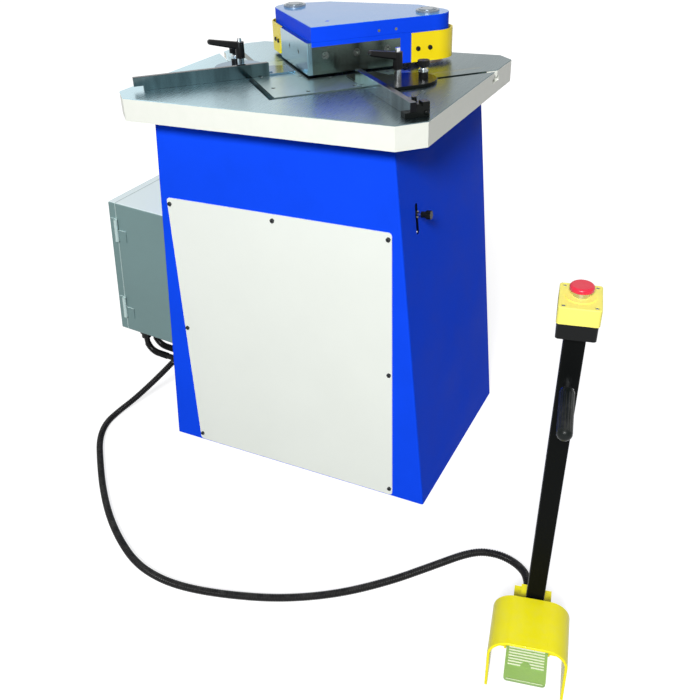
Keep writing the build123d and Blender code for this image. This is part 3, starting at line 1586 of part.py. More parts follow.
os.makedirs("parts", exist_ok=True)
save("cabinet_shell", cabinet_shell())
save("front_panel", front_panel())
save("panel_screws", panel_screws())
save("table_plate", table_plate())
save("table_bolts", table_bolts())
save("die_insert", die_insert())
save("lower_blade_right", lower_blade_right())
save("lower_blade_left", lower_blade_left())
save("die_screws", die_screws())
save("table_rules", group(both_sides(rule_strip(0))))
save("guide_bushes", guide_bushes())
save("cylinder_body", cylinder_body())
save("oil_tank", oil_tank())
save("pump_motor", pump_motor())
save("pressure_hose", pressure_hose())
save("head_plate", head_plate())
save("tool_holder", tool_holder())
save("upper_blade_right", upper_blade_right())
save("upper_blade_left", upper_blade_left())
save("head_screws", head_screws())
save("guard_right", guard_right())
save("guard_left", guard_left())
save("columns", columns())
save("column_caps", column_caps())
save("column_nuts", column_nuts())
save("yoke", yoke())
save("piston_rod", piston_rod())
save("stroke_slider", stroke_slider())
save("stroke_knob", stroke_knob())
save("fence_plate_right", fence_plate())
save("fence_bar_right", fence_bar())
save("fence_studs_right", fence_studs())
save("clamp_lever_right", clamp_lever(lever_angle_right))
save("fence_knob_right", fence_knob())
save("fence_plate_left", left_copy(fence_plate()))
save("fence_bar_left", left_copy(fence_bar()))
save("fence_studs_left", left_copy(fence_studs()))
save("clamp_lever_left", left_copy(clamp_lever(lever_angle_left)))
save("fence_knob_left", left_copy(fence_knob()))
save("bar_stop", bar_stop())
save("control_box", control_box())
save("box_door", box_door())
save("box_hinge_leaves", box_hinge_leaves())
save("door_lock", door_lock())
save("control_gear", control_gear())
save("conduit_glands", conduit_glands())
save("conduit_link", conduit_link())
save("conduit_floor", conduit_floor())
save("foot_base", foot_base())
save("foot_hood", foot_hood())
save("foot_pedal", foot_pedal())
save("pedal_pin", pedal_pin())
save("foot_switch", foot_switch())
save("station_post", station_post())
save("handle_stud", handle_stud())
save("handle_grip", handle_grip())
save("estop_base", estop_base())
save("estop_cover", estop_cover())
save("estop_screws", estop_screws())
save("estop_button", estop_button())
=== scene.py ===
import math

import bmesh
import bpy
from mathutils import Matrix, Vector


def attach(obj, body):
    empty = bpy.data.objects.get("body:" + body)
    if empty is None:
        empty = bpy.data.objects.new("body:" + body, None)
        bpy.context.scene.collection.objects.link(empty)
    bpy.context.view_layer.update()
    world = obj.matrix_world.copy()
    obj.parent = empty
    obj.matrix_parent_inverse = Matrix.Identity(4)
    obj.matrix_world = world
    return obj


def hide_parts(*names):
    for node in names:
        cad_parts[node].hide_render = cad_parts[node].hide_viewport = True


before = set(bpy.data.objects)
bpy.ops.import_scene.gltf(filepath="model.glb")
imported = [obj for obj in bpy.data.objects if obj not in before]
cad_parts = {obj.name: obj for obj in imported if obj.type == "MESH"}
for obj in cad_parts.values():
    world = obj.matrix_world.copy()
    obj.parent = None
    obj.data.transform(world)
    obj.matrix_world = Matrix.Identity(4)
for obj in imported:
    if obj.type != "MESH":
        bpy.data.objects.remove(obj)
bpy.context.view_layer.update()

scene = bpy.context.scene

# Studio: the machine stands on a plain white floor and is seen from the front right, a little above its
# table. One key lights it from beside the camera, so its shadow falls behind it, and a soft fill comes
# from behind.
scene.view_settings.view_transform = "Standard"
camera_spot = (0.8689, -1.6386, 1.3235)
camera_heading, camera_tilt, camera_roll = math.radians(29.0), math.radians(59.32), math.radians(-2.96)
camera_data = bpy.data.cameras.new("camera")
camera_data.lens = 42.84
camera_data.sensor_width = 36.0
camera_data.shift_x = 0.0412
camera_data.shift_y = -0.0120
camera = bpy.data.objects.new("camera", camera_data)
camera_turn = Matrix.Rotation(camera_heading, 4, "Z") @ Matrix.Rotation(camera_tilt, 4, "X")
camera.matrix_world = Matrix.Translation(camera_spot) @ camera_turn @ Matrix.Rotation(camera_roll, 4, "Z")
scene.collection.objects.link(camera)
scene.camera = camera


def maths(tree, operation, first, second=None):
    """Math node on sockets or plain numbers."""
    node = tree.nodes.new("ShaderNodeMath")
    node.operation = operation
    for socket, value in zip(node.inputs, (first, second)):
        if isinstance(value, (int, float)):
            socket.default_value = value
        elif value is not None:
            tree.links.new(value, socket)
    return node.outputs[0]


def spread(tree, value, low, high, start=0.0, end=1.0):
    """A value between start and end turned into one between low and high."""
    node = tree.nodes.new("ShaderNodeMapRange")
    node.inputs["From Min"].default_value = start
    node.inputs["From Max"].default_value = end
    node.inputs["To Min"].default_value = low
    node.inputs["To Max"].default_value = high
    tree.links.new(value, node.inputs["Value"])
    return node.outputs["Result"]


def mix(tree, factor, first, second, blend="MIX"):
    """Colour mix; each colour is a socket or a plain colour."""
    node = tree.nodes.new("ShaderNodeMix")
    node.data_type = "RGBA"
    node.blend_type = blend
    tree.links.new(factor, node.inputs["Factor"])
    for socket, value in ((node.inputs["A"], first), (node.inputs["B"], second)):
        if isinstance(value, tuple):
            socket.default_value = value
        else:
            tree.links.new(value, socket)
    return node.outputs["Result"]


def seen_rays(tree):
    """1 for rays from the camera, in reflections and through glass; 0 for scattered light."""
    path = tree.nodes.new("ShaderNodeLightPath")
    straight = maths(tree, "MAXIMUM", path.outputs["Is Camera Ray"], path.outputs["Is Glossy Ray"])
    return maths(tree, "MAXIMUM", straight, path.outputs["Is Transmission Ray"])


white = (1.0, 1.0, 1.0, 1.0)
fill_front, fill_behind = 0.12, 0.60
world = bpy.data.worlds.new("studio")
scene.world = world
world.use_nodes = True
sky = world.node_tree
sky_light = sky.nodes["Background"]
sky_light.inputs["Color"].default_value = white
sky_way = sky.nodes.new("ShaderNodeSeparateXYZ")
sky.links.new(sky.nodes.new("ShaderNodeTexCoord").outputs["Generated"], sky_way.inputs["Vector"])
soft_fill = spread(sky, sky_way.outputs["Y"], fill_front, fill_behind)
sky.links.new(maths(sky, "MAXIMUM", seen_rays(sky), soft_fill), sky_light.inputs["Strength"])

floor_half = 14.0
floor_drop = 0.0006
floor_scattered, floor_bare = (0.16, 0.16, 0.16, 1.0), (0.46, 0.46, 0.46, 1.0)
glow_near, glow_far = 0.78, 1.0
glow_start, glow_end = 0.7, 2.4
floor_mesh = bpy.data.meshes.new("floor")
bm = bmesh.new()
bmesh.ops.create_grid(bm, x_segments=1, y_segments=1, size=floor_half)
bm.to_mesh(floor_mesh)
bm.free()
floor = bpy.data.objects.new("floor", floor_mesh)
floor.location.z = -floor_drop
scene.collection.objects.link(floor)
floor_paint = bpy.data.materials.new("floor")
floor_paint.use_nodes = True
floor_tree = floor_paint.node_tree
floor_shader = floor_tree.nodes["Principled BSDF"]
floor_seen = seen_rays(floor_tree)
floor_colour = mix(floor_tree, floor_seen, floor_scattered, floor_bare)
floor_tree.links.new(floor_colour, floor_shader.inputs["Base Color"])
floor_shader.inputs["Roughness"].default_value = 0.9
floor_shader.inputs["Specular IOR Level"].default_value = 0.0
floor_shader.inputs["Emission Color"].default_value = white
floor_reach = floor_tree.nodes.new("ShaderNodeVectorMath")
floor_reach.operation = "LENGTH"
floor_tree.links.new(floor_tree.nodes.new("ShaderNodeTexCoord").outputs["Object"], floor_reach.inputs[0])
floor_white = spread(floor_tree, floor_reach.outputs["Value"], glow_near, glow_far, glow_start, glow_end)
floor_glow = maths(floor_tree, "MULTIPLY", floor_seen, floor_white)
floor_tree.links.new(floor_glow, floor_shader.inputs["Emission Strength"])
floor_mesh.materials.append(floor_paint)

key_aim = Vector((-0.70, 2.55, -1.75))
key = bpy.data.lights.new("key", "AREA")
key.shape = "DISK"
key.size = 1.1
key.energy = 275.0
key_lamp = bpy.data.objects.new("key", key)
key_lamp.location = (1.32, -4.38, 3.25)
key_lamp.rotation_euler = key_aim.to_track_quat("-Z", "Y").to_euler()
scene.collection.objects.link(key_lamp)

# Cabinet: one folded sheet-steel body, welded and then sprayed a strong blue that dries with a fine
# orange peel. The front panel is a separate white sheet, held by seven blackened socket screws.
# Where the stroke slot's cut edges in the right wall get their painted shade:
slot_y, slot_z = -0.172, 0.6715
slot_straight, slot_round = 0.0269, 0.0061
slot_wall_from = 0.27
dust_grey = (0.55, 0.54, 0.51, 1.0)


def shade(red, green, blue):
    """Screen colour, 0 to 255, as the linear colour that a shader takes."""
    def linear(value):
        value /= 255.0
        return value / 12.92 if value <= 0.04045 else ((value + 0.055) / 1.055) ** 2.4
    return (linear(red), linear(green), linear(blue), 1.0)


def tint(colour, factor):
    """A colour made lighter or darker."""
    return tuple(min(1.0, channel * factor) for channel in colour[:3]) + (1.0,)


def effect(name, inputs, outputs):
    """Empty shader group with named inputs and outputs."""
    group = bpy.data.node_groups.new(name, "ShaderNodeTree")
    for label, kind, value in inputs:
        socket = group.interface.new_socket(label, in_out="INPUT", socket_type=kind)
        if value is not None:
            socket.default_value = value
    for label, kind in outputs:
        group.interface.new_socket(label, in_out="OUTPUT", socket_type=kind)
    return group, group.nodes.new("NodeGroupInput"), group.nodes.new("NodeGroupOutput")


def noise(tree, vector, scale, detail, roughness=0.55):
    """Noise between 0 and 1; its scale is a socket or a plain number."""
    texture = tree.nodes.new("ShaderNodeTexNoise")
    texture.inputs["Detail"].default_value = detail
    texture.inputs["Roughness"].default_value = roughness
    if isinstance(scale, (int, float)):
        texture.inputs["Scale"].default_value = scale
    else:
        tree.links.new(scale, texture.inputs["Scale"])
    tree.links.new(vector, texture.inputs["Vector"])
    return texture.outputs["Fac"]


def facing_up(tree):
    """1 on faces that look up, 0 on upright ones."""
    facing = tree.nodes.new("ShaderNodeSeparateXYZ")
    tree.links.new(tree.nodes.new("ShaderNodeNewGeometry").outputs["Normal"], facing.inputs["Vector"])
    return spread(tree, facing.outputs["Z"], 0.0, 1.0, 0.6, 0.95)


# Sprayed skin: the peel's height, the coat's cloudiness, small scuffs, and dust that settles on tops
paint_skin, skin_in, skin_out = effect(
    "paint_skin",
    [("Vector", "NodeSocketVector", None), ("Peel Scale", "NodeSocketFloat", 900.0)],
    [("Height", "NodeSocketFloat"), ("Cloud", "NodeSocketFloat"), ("Scuff", "NodeSocketFloat"),
     ("Dust", "NodeSocketFloat")])
skin_place = skin_in.outputs["Vector"]
peel = noise(paint_skin, skin_place, skin_in.outputs["Peel Scale"], 2.0)
paint_skin.links.new(peel, skin_out.inputs["Height"])
skin_cloud = spread(paint_skin, noise(paint_skin, skin_place, 7.0, 4.0), 0.0, 1.0, 0.3, 0.7)
paint_skin.links.new(skin_cloud, skin_out.inputs["Cloud"])
scuff_patch = spread(paint_skin, noise(paint_skin, skin_place, 6.0, 3.0), 0.0, 1.0, 0.55, 0.74)
scuff_line = spread(paint_skin, noise(paint_skin, skin_place, 240.0, 6.0, 0.7), 0.0, 1.0, 0.58, 0.68)
paint_skin.links.new(maths(paint_skin, "MULTIPLY", scuff_patch, scuff_line), skin_out.inputs["Scuff"])
skin_specks = spread(paint_skin, noise(paint_skin, skin_place, 55.0, 5.0, 0.65), 0.0, 1.0, 0.42, 0.70)
skin_dust = maths(paint_skin, "MULTIPLY", facing_up(paint_skin), skin_specks)
paint_skin.links.new(skin_dust, skin_out.inputs["Dust"])


def blank(name):
    """New material with its tree and its Principled shader."""
    material = bpy.data.materials.new(name)
    material.use_nodes = True
    return material, material.node_tree, material.node_tree.nodes["Principled BSDF"]


def object_place(tree):
    """Where a point is, in the frame of the whole machine."""
    return tree.nodes.new("ShaderNodeTexCoord").outputs["Object"]


def place_xyz(tree):
    """The same place as three numbers."""
    split = tree.nodes.new("ShaderNodeSeparateXYZ")
    tree.links.new(object_place(tree), split.inputs["Vector"])
    return split.outputs["X"], split.outputs["Y"], split.outputs["Z"]


def bump(tree, shader, height, distance):
    """Give the shader a relief."""
    node = tree.nodes.new("ShaderNodeBump")
    node.inputs["Distance"].default_value = distance
    tree.links.new(height, node.inputs["Height"])
    tree.links.new(node.outputs["Normal"], shader.inputs["Normal"])


def cover(tree, shader, colour, rough):
    """Give the shader its colour and its roughness."""
    tree.links.new(colour, shader.inputs["Base Color"])
    tree.links.new(rough, shader.inputs["Roughness"])


def paint_into(tree, shader, colour, gloss, peel_scale=900.0, peel_depth=0.00012, scuff=0.3, dust=0.06,
               cloud=0.045):
    """Paint nodes: returns the colour and the roughness, and gives the shader its peel."""
    skin = tree.nodes.new("ShaderNodeGroup")
    skin.node_tree = paint_skin
    skin.inputs["Peel Scale"].default_value = peel_scale
    tree.links.new(object_place(tree), skin.inputs["Vector"])
    cloudy = mix(tree, skin.outputs["Cloud"], tint(colour, 1.0 - cloud), tint(colour, 1.0 + cloud))
    worn = maths(tree, "MULTIPLY", skin.outputs["Scuff"], scuff)
    marked = mix(tree, worn, cloudy, tint(colour, 0.7))
    dusty = maths(tree, "MULTIPLY", skin.outputs["Dust"], dust)
    skin_colour = mix(tree, dusty, marked, dust_grey)
    rough = maths(tree, "ADD", spread(tree, skin.outputs["Cloud"], gloss - 0.04, gloss + 0.05),
                  maths(tree, "MULTIPLY", maths(tree, "ADD", worn, dusty), 0.3))
    bump(tree, shader, skin.outputs["Height"], peel_depth)
    return skin_colour, rough


def sprayed(name, colour, gloss, coat=0.0, sheen=0.35, **skin):
    """Sprayed or moulded surface; gloss is its roughness where clean, sheen its reflection square on."""
    material, tree, shader = blank(name)
    cover(tree, shader, *paint_into(tree, shader, colour, gloss, **skin))
    shader.inputs["Specular IOR Level"].default_value = sheen
    shader.inputs["Coat Weight"].default_value = coat
    shader.inputs["Coat Roughness"].default_value = 0.10
    return material


def dress(material, *nodes):
    """Give CAD nodes a material."""
    for name in nodes:
        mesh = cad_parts[name].data
        mesh.materials.clear()
        mesh.materials.append(material)


cabinet_blue, tree, shader = blank("cabinet_blue")
wall_colour, wall_rough = paint_into(tree, shader, shade(18, 76, 246), 0.50)
# The cut edges of the stroke slot get a painted shade, near-black blue, standing for the dark inside the
# slot.
x, y, z = place_xyz(tree)
beside = maths(tree, "SUBTRACT", y, slot_y)
beyond = maths(tree, "ABSOLUTE", maths(tree, "SUBTRACT", z, slot_z))
beyond = maths(tree, "MAXIMUM", maths(tree, "SUBTRACT", beyond, slot_straight), 0.0)
slot_far = maths(tree, "ADD", maths(tree, "MULTIPLY", beside, beside),
                 maths(tree, "MULTIPLY", beyond, beyond))
slot_shade = maths(tree, "MULTIPLY", maths(tree, "LESS_THAN", slot_far, slot_round ** 2),
                  maths(tree, "GREATER_THAN", x, slot_wall_from))
cover(tree, shader, mix(tree, slot_shade, wall_colour, shade(10, 12, 24)), wall_rough)
shader.inputs["Specular IOR Level"].default_value = 0.015
dress(cabinet_blue, "cabinet_shell")
panel_white = sprayed("panel_white", shade(240, 245, 238), 0.50, sheen=0.1, scuff=0.06, dust=0.0, cloud=0.012)
dress(panel_white, "front_panel")

# Screws, bolts and nuts: turned and blackened steel. They hold the front panel, the table, the die and the
# columns. Faint tool marks and oil stains show on them, as on the other bare metal.
ground_marks, marks_in, marks_out = effect(
    "ground_marks",
    [("Vector", "NodeSocketVector", None), ("Fineness", "NodeSocketFloat", 900.0)],
    [("Height", "NodeSocketFloat"), ("Tone", "NodeSocketFloat"), ("Stain", "NodeSocketFloat")])
marks_place = marks_in.outputs["Vector"]
streak = noise(ground_marks, marks_place, marks_in.outputs["Fineness"], 5.0, 0.65)
ground_marks.links.new(streak, marks_out.inputs["Height"])
ground_marks.links.new(spread(ground_marks, streak, 0.0, 1.0, 0.35, 0.65), marks_out.inputs["Tone"])
stain = noise(ground_marks, marks_place, 9.0, 6.0, 0.6)
ground_marks.links.new(spread(ground_marks, stain, 0.0, 1.0, 0.5, 0.75), marks_out.inputs["Stain"])


def ground(tree, stretch, turn_z, fineness):
    """Grinding marks: stretch is how fast the marks change along X, Y and Z."""
    mapping = tree.nodes.new("ShaderNodeMapping")
    mapping.inputs["Rotation"].default_value = (0.0, 0.0, turn_z)
    mapping.inputs["Scale"].default_value = stretch
    tree.links.new(object_place(tree), mapping.inputs["Vector"])
    marks = tree.nodes.new("ShaderNodeGroup")
    marks.node_tree = ground_marks
    marks.inputs["Fineness"].default_value = fineness
    tree.links.new(mapping.outputs["Vector"], marks.inputs["Vector"])
    return marks


def steel_into(tree, shader, colour, gloss, stretch=(1.0, 0.05, 1.0), turn_z=0.0, depth=0.00002, stained=0.3,
               contrast=0.07, fineness=320.0):
    """Bare metal nodes: returns the colour and the roughness, and gives the shader its marks."""
    marks = ground(tree, stretch, turn_z, fineness)
    tone = mix(tree, marks.outputs["Tone"], tint(colour, 1.0 - contrast), tint(colour, 1.0 + contrast))
    dark = maths(tree, "MULTIPLY", marks.outputs["Stain"], stained)
    bump(tree, shader, marks.outputs["Height"], depth)
    rough = maths(tree, "ADD", spread(tree, marks.outputs["Tone"], gloss - 0.03, gloss + 0.05),
                  maths(tree, "MULTIPLY", dark, 0.12))
    return mix(tree, dark, tone, tint(colour, 0.62)), rough


def machined(name, colour, gloss, **marks):
    """Bare ground or turned metal."""
    material, tree, shader = blank(name)
    cover(tree, shader, *steel_into(tree, shader, colour, gloss, **marks))
    shader.inputs["Metallic"].default_value = 1.0
    return material


blackened = machined("blackened_steel", shade(62, 64, 66), 0.38)
dress(blackened, "panel_screws", "table_bolts", "die_screws", "column_nuts")

# Table: a thick steel plate, ground and polished on top, with its sawn edges painted white. It is bolted
# down on the cabinet's flange. The T-slots, the blade seats and the scrap opening are bare steel.
table_half = 0.347
table_front, table_back = -0.311, 0.275
front_cut, back_cut = 0.045, 0.036
overspray = 0.018
paint_top = 0.8987
# The way and the span over which the ground top is painted darker, as a painted reflection of a dimmer room:
reflection_shade_way = (0.875, 0.485, 0.0)
reflection_shade_from, reflection_shade_to = -0.30, 0.20


def measured(tree, vector, way):
    """How far a vector reaches in one direction."""
    node = tree.nodes.new("ShaderNodeVectorMath")
    node.operation = "DOT_PRODUCT"
    tree.links.new(vector, node.inputs[0])
    node.inputs[1].default_value = way
    return node.outputs["Value"]


table_steel, tree, shader = blank("table_steel")
ground_colour, bare_rough = steel_into(tree, shader, shade(196, 228, 238), 0.27, stretch=(1.0, 0.04, 1.0),
                                       turn_z=math.radians(20.0), depth=0.000004, stained=0.35,
                                       contrast=0.025, fineness=600.0)
x, y, z = place_xyz(tree)
across = maths(tree, "ABSOLUTE", x)
edge = maths(tree, "GREATER_THAN", across, table_half - overspray)
for sign, limit, cut in ((-1.0, -table_front, front_cut), (1.0, table_back, back_cut)):
    away = maths(tree, "MULTIPLY", y, sign)
    edge = maths(tree, "MAXIMUM", edge, maths(tree, "GREATER_THAN", away, limit - overspray))
    corner = maths(tree, "ADD", across, away)
    corner_limit = table_half + limit - cut - overspray
    edge = maths(tree, "MAXIMUM", edge, maths(tree, "GREATER_THAN", corner, corner_limit))
# The ground top is painted darker towards the right, a painted reflection of the dimmer room on that side.
reflection_shade = spread(tree, measured(tree, object_place(tree), reflection_shade_way), 0.0, 1.0, reflection_shade_from, reflection_shade_to)
reflection_shaded_colour = mix(tree, reflection_shade, ground_colour, (0.24, 0.25, 0.24, 1.0), "MULTIPLY")
painted = maths(tree, "MULTIPLY", edge, maths(tree, "LESS_THAN", z, paint_top))
edge_brush = noise(tree, object_place(tree), 40.0, 4.0)
edge_paint = mix(tree, edge_brush, shade(236, 240, 230), shade(244, 246, 238))
table_rough = maths(tree, "MAXIMUM", bare_rough, maths(tree, "MULTIPLY", painted, 0.42))
cover(tree, shader, mix(tree, painted, reflection_shaded_colour, edge_paint), table_rough)
tree.links.new(maths(tree, "SUBTRACT", 1.0, painted), shader.inputs["Metallic"])
dress(table_steel, "table_plate")

# Die: a V-shaped insert and two hardened blade bars let into the table, all ground flush with it.
# Socket screws from above hold them in their seats.
insert_steel = machined("insert_steel", shade(184, 206, 206), 0.34, turn_z=math.radians(45.0), depth=0.000004,
                        stained=0.2)
dress(insert_steel, "die_insert", "lower_blade_left", "lower_blade_right")

# Rules: satin steel strips, let into shallow grooves of the table beside the cutting lines.
# They are engraved in millimetres, with longer lines at every fifth and tenth.
line_corner_y = -0.047
engravings = ((0.001, 0.20, 0.0765), (0.005, 0.05, 0.0785), (0.010, 0.034, 0.081))
rule_metal, tree, shader = blank("rule_metal")
satin_colour, satin_rough = steel_into(tree, shader, shade(128, 138, 132), 0.34, stretch=(0.05, 1.0, 1.0),
                                       stained=0.1, contrast=0.05)
x, y, z = place_xyz(tree)
side_x = maths(tree, "ABSOLUTE", x)
corner_y = maths(tree, "SUBTRACT", y, line_corner_y)
along_line = maths(tree, "MULTIPLY", maths(tree, "ADD", side_x, corner_y), math.sqrt(0.5))
out_of_line = maths(tree, "MULTIPLY", maths(tree, "SUBTRACT", side_x, corner_y), math.sqrt(0.5))
engraved = None
for pitch, width, reach in engravings:
    tick = maths(tree, "LESS_THAN", maths(tree, "FRACT", maths(tree, "DIVIDE", along_line, pitch)), width)
    tick = maths(tree, "MULTIPLY", tick, maths(tree, "LESS_THAN", out_of_line, reach))
    engraved = tick if engraved is None else maths(tree, "MAXIMUM", engraved, tick)
cover(tree, shader, mix(tree, engraved, satin_colour, shade(40, 42, 44)), satin_rough)
shader.inputs["Metallic"].default_value = 0.85
dress(rule_metal, "table_rules")

# Guides and drive under the table: bronze bushes, a painted cylinder, and a power unit on the floor pan.
# The columns and the piston rod are hard-chromed and ground; the hose is braided rubber.
dress(machined("bush_bronze", shade(170, 126, 66), 0.35), "guide_bushes")
drive_grey = sprayed("drive_grey", shade(70, 76, 80), 0.45)
dress(drive_grey, "cylinder_body", "oil_tank", "yoke", "pump_motor")
ground_chrome = machined("ground_chrome", shade(205, 208, 210), 0.18, stretch=(1.0, 1.0, 0.03), stained=0.1)
dress(ground_chrome, "columns", "piston_rod")
hose_rubber = sprayed("hose_rubber", shade(26, 26, 28), 0.6, peel_scale=1500.0, scuff=0.2)
dress(hose_rubber, "pressure_hose")

# Head: a thick steel plate over a tool holder, sprayed in the cabinet's blue. The plate has a deep gloss
# lacquer on top, and its top faces are painted a paler cyan, a painted reflection of the bright room above.
# Two columns carry them both.
head_blue, tree, shader = blank("head_blue")
side_colour, head_rough = paint_into(tree, shader, shade(16, 72, 242), 0.42, dust=0.03)
# Top faces: a paler cyan painted reflection, and the gloss lacquer.
top = facing_up(tree)
cover(tree, shader, mix(tree, top, side_colour, shade(10, 146, 234)), head_rough)
shader.inputs["Specular IOR Level"].default_value = 0.015
shader.inputs["Coat IOR"].default_value = 1.5
shader.inputs["Coat Roughness"].default_value = 0.10
tree.links.new(top, shader.inputs["Coat Weight"])
dress(head_blue, "head_plate", "tool_holder")

# Upper blades: hardened bars, ground on their faces and screwed to the two sides of the holder's nose.
# The screws are bright in the blades, and darkened in the guards.
guard_from, guard_top = 0.264, 0.966
# Both blades are the same steel: the right one is painted darker and the left one lighter, as painted
# reflections of the dim and the bright surroundings.
dim_reflection_blade = machined("dim_reflection_blade", shade(92, 104, 98), 0.20, stretch=(1.0, 1.0, 0.05), stained=0.5,
                      contrast=0.09)
dress(dim_reflection_blade, "upper_blade_right")
bright_reflection_blade = machined("bright_reflection_blade", shade(146, 174, 186), 0.20, stretch=(1.0, 1.0, 0.05), stained=0.4,
                        contrast=0.09)
dress(bright_reflection_blade, "upper_blade_left")
screw_steel, tree, shader = blank("screw_steel")
screw_colour, screw_rough = steel_into(tree, shader, shade(112, 118, 114), 0.26, stretch=(1.0, 1.0, 1.0),
                                       stained=0.2)
x, y, z = place_xyz(tree)
past_nose = maths(tree, "ADD", maths(tree, "ABSOLUTE", x), y)
guard_screw = maths(tree, "MULTIPLY", maths(tree, "GREATER_THAN", past_nose, guard_from),
                    maths(tree, "LESS_THAN", z, guard_top))
cover(tree, shader, mix(tree, guard_screw, screw_colour, shade(50, 50, 50)), screw_rough)
shader.inputs["Metallic"].default_value = 1.0
dress(screw_steel, "head_screws")

# Guards and column caps: bent sheet, sprayed yellow and screwed round the ends of the holder, and turned
# steel caps on the columns.
guard_yellow = sprayed("guard_yellow", shade(255, 224, 16), 0.36, coat=0.15, sheen=0.2)
dress(guard_yellow, "guard_left", "guard_right")
dress(machined("cap_steel", shade(150, 160, 168), 0.28), "column_caps")

# Fences: slide plates of one polished steel, with drawn bars across them. The left plate is painted light and
# the right one near-black, as painted reflections of the bright and the dark surroundings. Chrome T-bolts
# hold them down, and clamp levers and knobs of black plastic tighten them.
left_bar_way, right_bar_way = (-0.7071, -0.7071, 0.0), (0.7071, -0.7071, 0.0)
lever_bare = (0.0, 0.9286)
knob_bare = (0.9175, 0.9255)
# The right plate's near-black is a painted reflection of dark surroundings; the bar stop is black in its own
# right.
fence_black = sprayed("fence_black", shade(16, 19, 18), 0.20, sheen=0.10, scuff=0.2, dust=0.02)
dress(fence_black, "fence_plate_right", "bar_stop")
fence_bright = machined("fence_bright", shade(112, 142, 164), 0.22, stretch=(1.0, 0.06, 1.0),
                        turn_z=math.radians(45.0))
dress(fence_bright, "fence_plate_left")


def bar_steel(name, side_colour, top_reflection_colour, length_way):
    """Drawn bar with painted reflections and shade: its sides lighter, its top darker, and its outer end face
    near-black.
    """
    material, tree, shader = blank(name)
    drawn, rough = steel_into(tree, shader, side_colour, 0.16, stretch=(1.0, 1.0, 0.1), depth=0.000004,
                              stained=0.5, contrast=0.30, fineness=40.0)
    facing = tree.nodes.new("ShaderNodeNewGeometry").outputs["Normal"]
    # Painted shade on the bar's outer end face, and a painted reflection that makes its top darker than its
    # sides.
    shaded_end = maths(tree, "GREATER_THAN", measured(tree, facing, length_way), 0.9)
    topped = mix(tree, facing_up(tree), drawn, top_reflection_colour)
    cover(tree, shader, mix(tree, shaded_end, topped, shade(26, 27, 29)), rough)
    shader.inputs["Metallic"].default_value = 1.0
    return material


# The left bar's sides are painted darker and the right bar's lighter, with a near-black top, as painted
# reflections.
dress(bar_steel("left_bar", shade(82, 100, 104), shade(44, 50, 56), left_bar_way), "fence_bar_left")
dress(bar_steel("right_bar", shade(126, 134, 138), shade(16, 19, 28), right_bar_way), "fence_bar_right")
chrome = machined("bright_chrome", shade(214, 216, 218), 0.12, stained=0.05)
dress(chrome, "fence_studs_left", "fence_studs_right", "handle_stud")


def between(tree, value, low, high):
    """1 where a value is between two others, 0 elsewhere."""
    return maths(tree, "MULTIPLY", maths(tree, "GREATER_THAN", value, low),
                 maths(tree, "LESS_THAN", value, high))


def capped(name, colour, gloss, bare_heights):
    """Moulded grip with bright metal between two heights."""
    material, tree, shader = blank(name)
    skin_colour, skin_rough = paint_into(tree, shader, colour, gloss, peel_scale=1800.0, peel_depth=0.00006,
                                         scuff=0.2, dust=0.05)
    height = place_xyz(tree)[2]
    bare = between(tree, height, *bare_heights)
    rough = maths(tree, "MULTIPLY", skin_rough, spread(tree, bare, 1.0, 0.6))
    cover(tree, shader, mix(tree, bare, skin_colour, shade(206, 209, 211)), rough)
    tree.links.new(bare, shader.inputs["Metallic"])
    shader.inputs["Specular IOR Level"].default_value = 0.2
    return material


lever_black = capped("lever_black", shade(13, 13, 14), 0.34, lever_bare)
dress(lever_black, "clamp_lever_left", "clamp_lever_right")
knob_black = capped("knob_black", shade(15, 15, 16), 0.36, knob_bare)
dress(knob_black, "fence_knob_left", "fence_knob_right")

# Stroke setting in the right wall: a steel slider that runs in its slot, bright outside the wall and painted
# near-black within it, a painted shade for the dark inside the cabinet. A moulded knob clamps it.
right_wall_way = (0.99636, 0.0, 0.08527)
bright_from = 0.3508
slider_metal, tree, shader = blank("slider_metal")
slider_colour, slider_rough = steel_into(tree, shader, shade(214, 216, 218), 0.12, stained=0.05)
outside = maths(tree, "GREATER_THAN", measured(tree, object_place(tree), right_wall_way), bright_from)
# Within the wall the slider gets a painted shade.
cover(tree, shader, mix(tree, outside, shade(22, 22, 22), slider_colour), slider_rough)
tree.links.new(outside, shader.inputs["Metallic"])
dress(slider_metal, "stroke_slider")
moulded_black = sprayed("moulded_black", shade(13, 15, 16), 0.28, sheen=0.14, peel_scale=1800.0,
                        peel_depth=0.00006, scuff=0.2)
dress(moulded_black, "stroke_knob")

# Control box: grey powder-coated sheet steel with a hinged door on its outer side. Its top faces are painted
# pale, as painted light from above, and the door's seam and the hinge knuckles carry painted highlights.
left_wall_way = (0.99636, 0.0, -0.08527)
seam_from, seam_to = -0.4908, -0.4884
knuckle_y = -0.2462
box_grey, tree, shader = blank("box_grey")
grey_colour, grey_rough = paint_into(tree, shader, shade(116, 142, 142), 0.45, peel_scale=700.0,
                                     peel_depth=0.0002, dust=0.0)
# Painted light: the top faces are painted pale.
painted_lit_top = mix(tree, facing_up(tree), grey_colour, shade(236, 255, 254))
# Painted highlight along the door's seam line and on the hinge knuckles.
seam = between(tree, measured(tree, object_place(tree), left_wall_way), seam_from, seam_to)
marked = maths(tree, "MAXIMUM", seam, maths(tree, "LESS_THAN", place_xyz(tree)[1], knuckle_y))
cover(tree, shader, mix(tree, marked, painted_lit_top, shade(190, 212, 210)), grey_rough)
shader.inputs["Specular IOR Level"].default_value = 0.2
shader.inputs["Coat IOR"].default_value = 1.9
tree.links.new(facing_up(tree), shader.inputs["Coat Weight"])
dress(box_grey, "control_box", "box_door", "box_hinge_leaves")
dress(chrome, "door_lock")
dress(sprayed("gear_plastic", shade(196, 196, 188), 0.5), "control_gear")

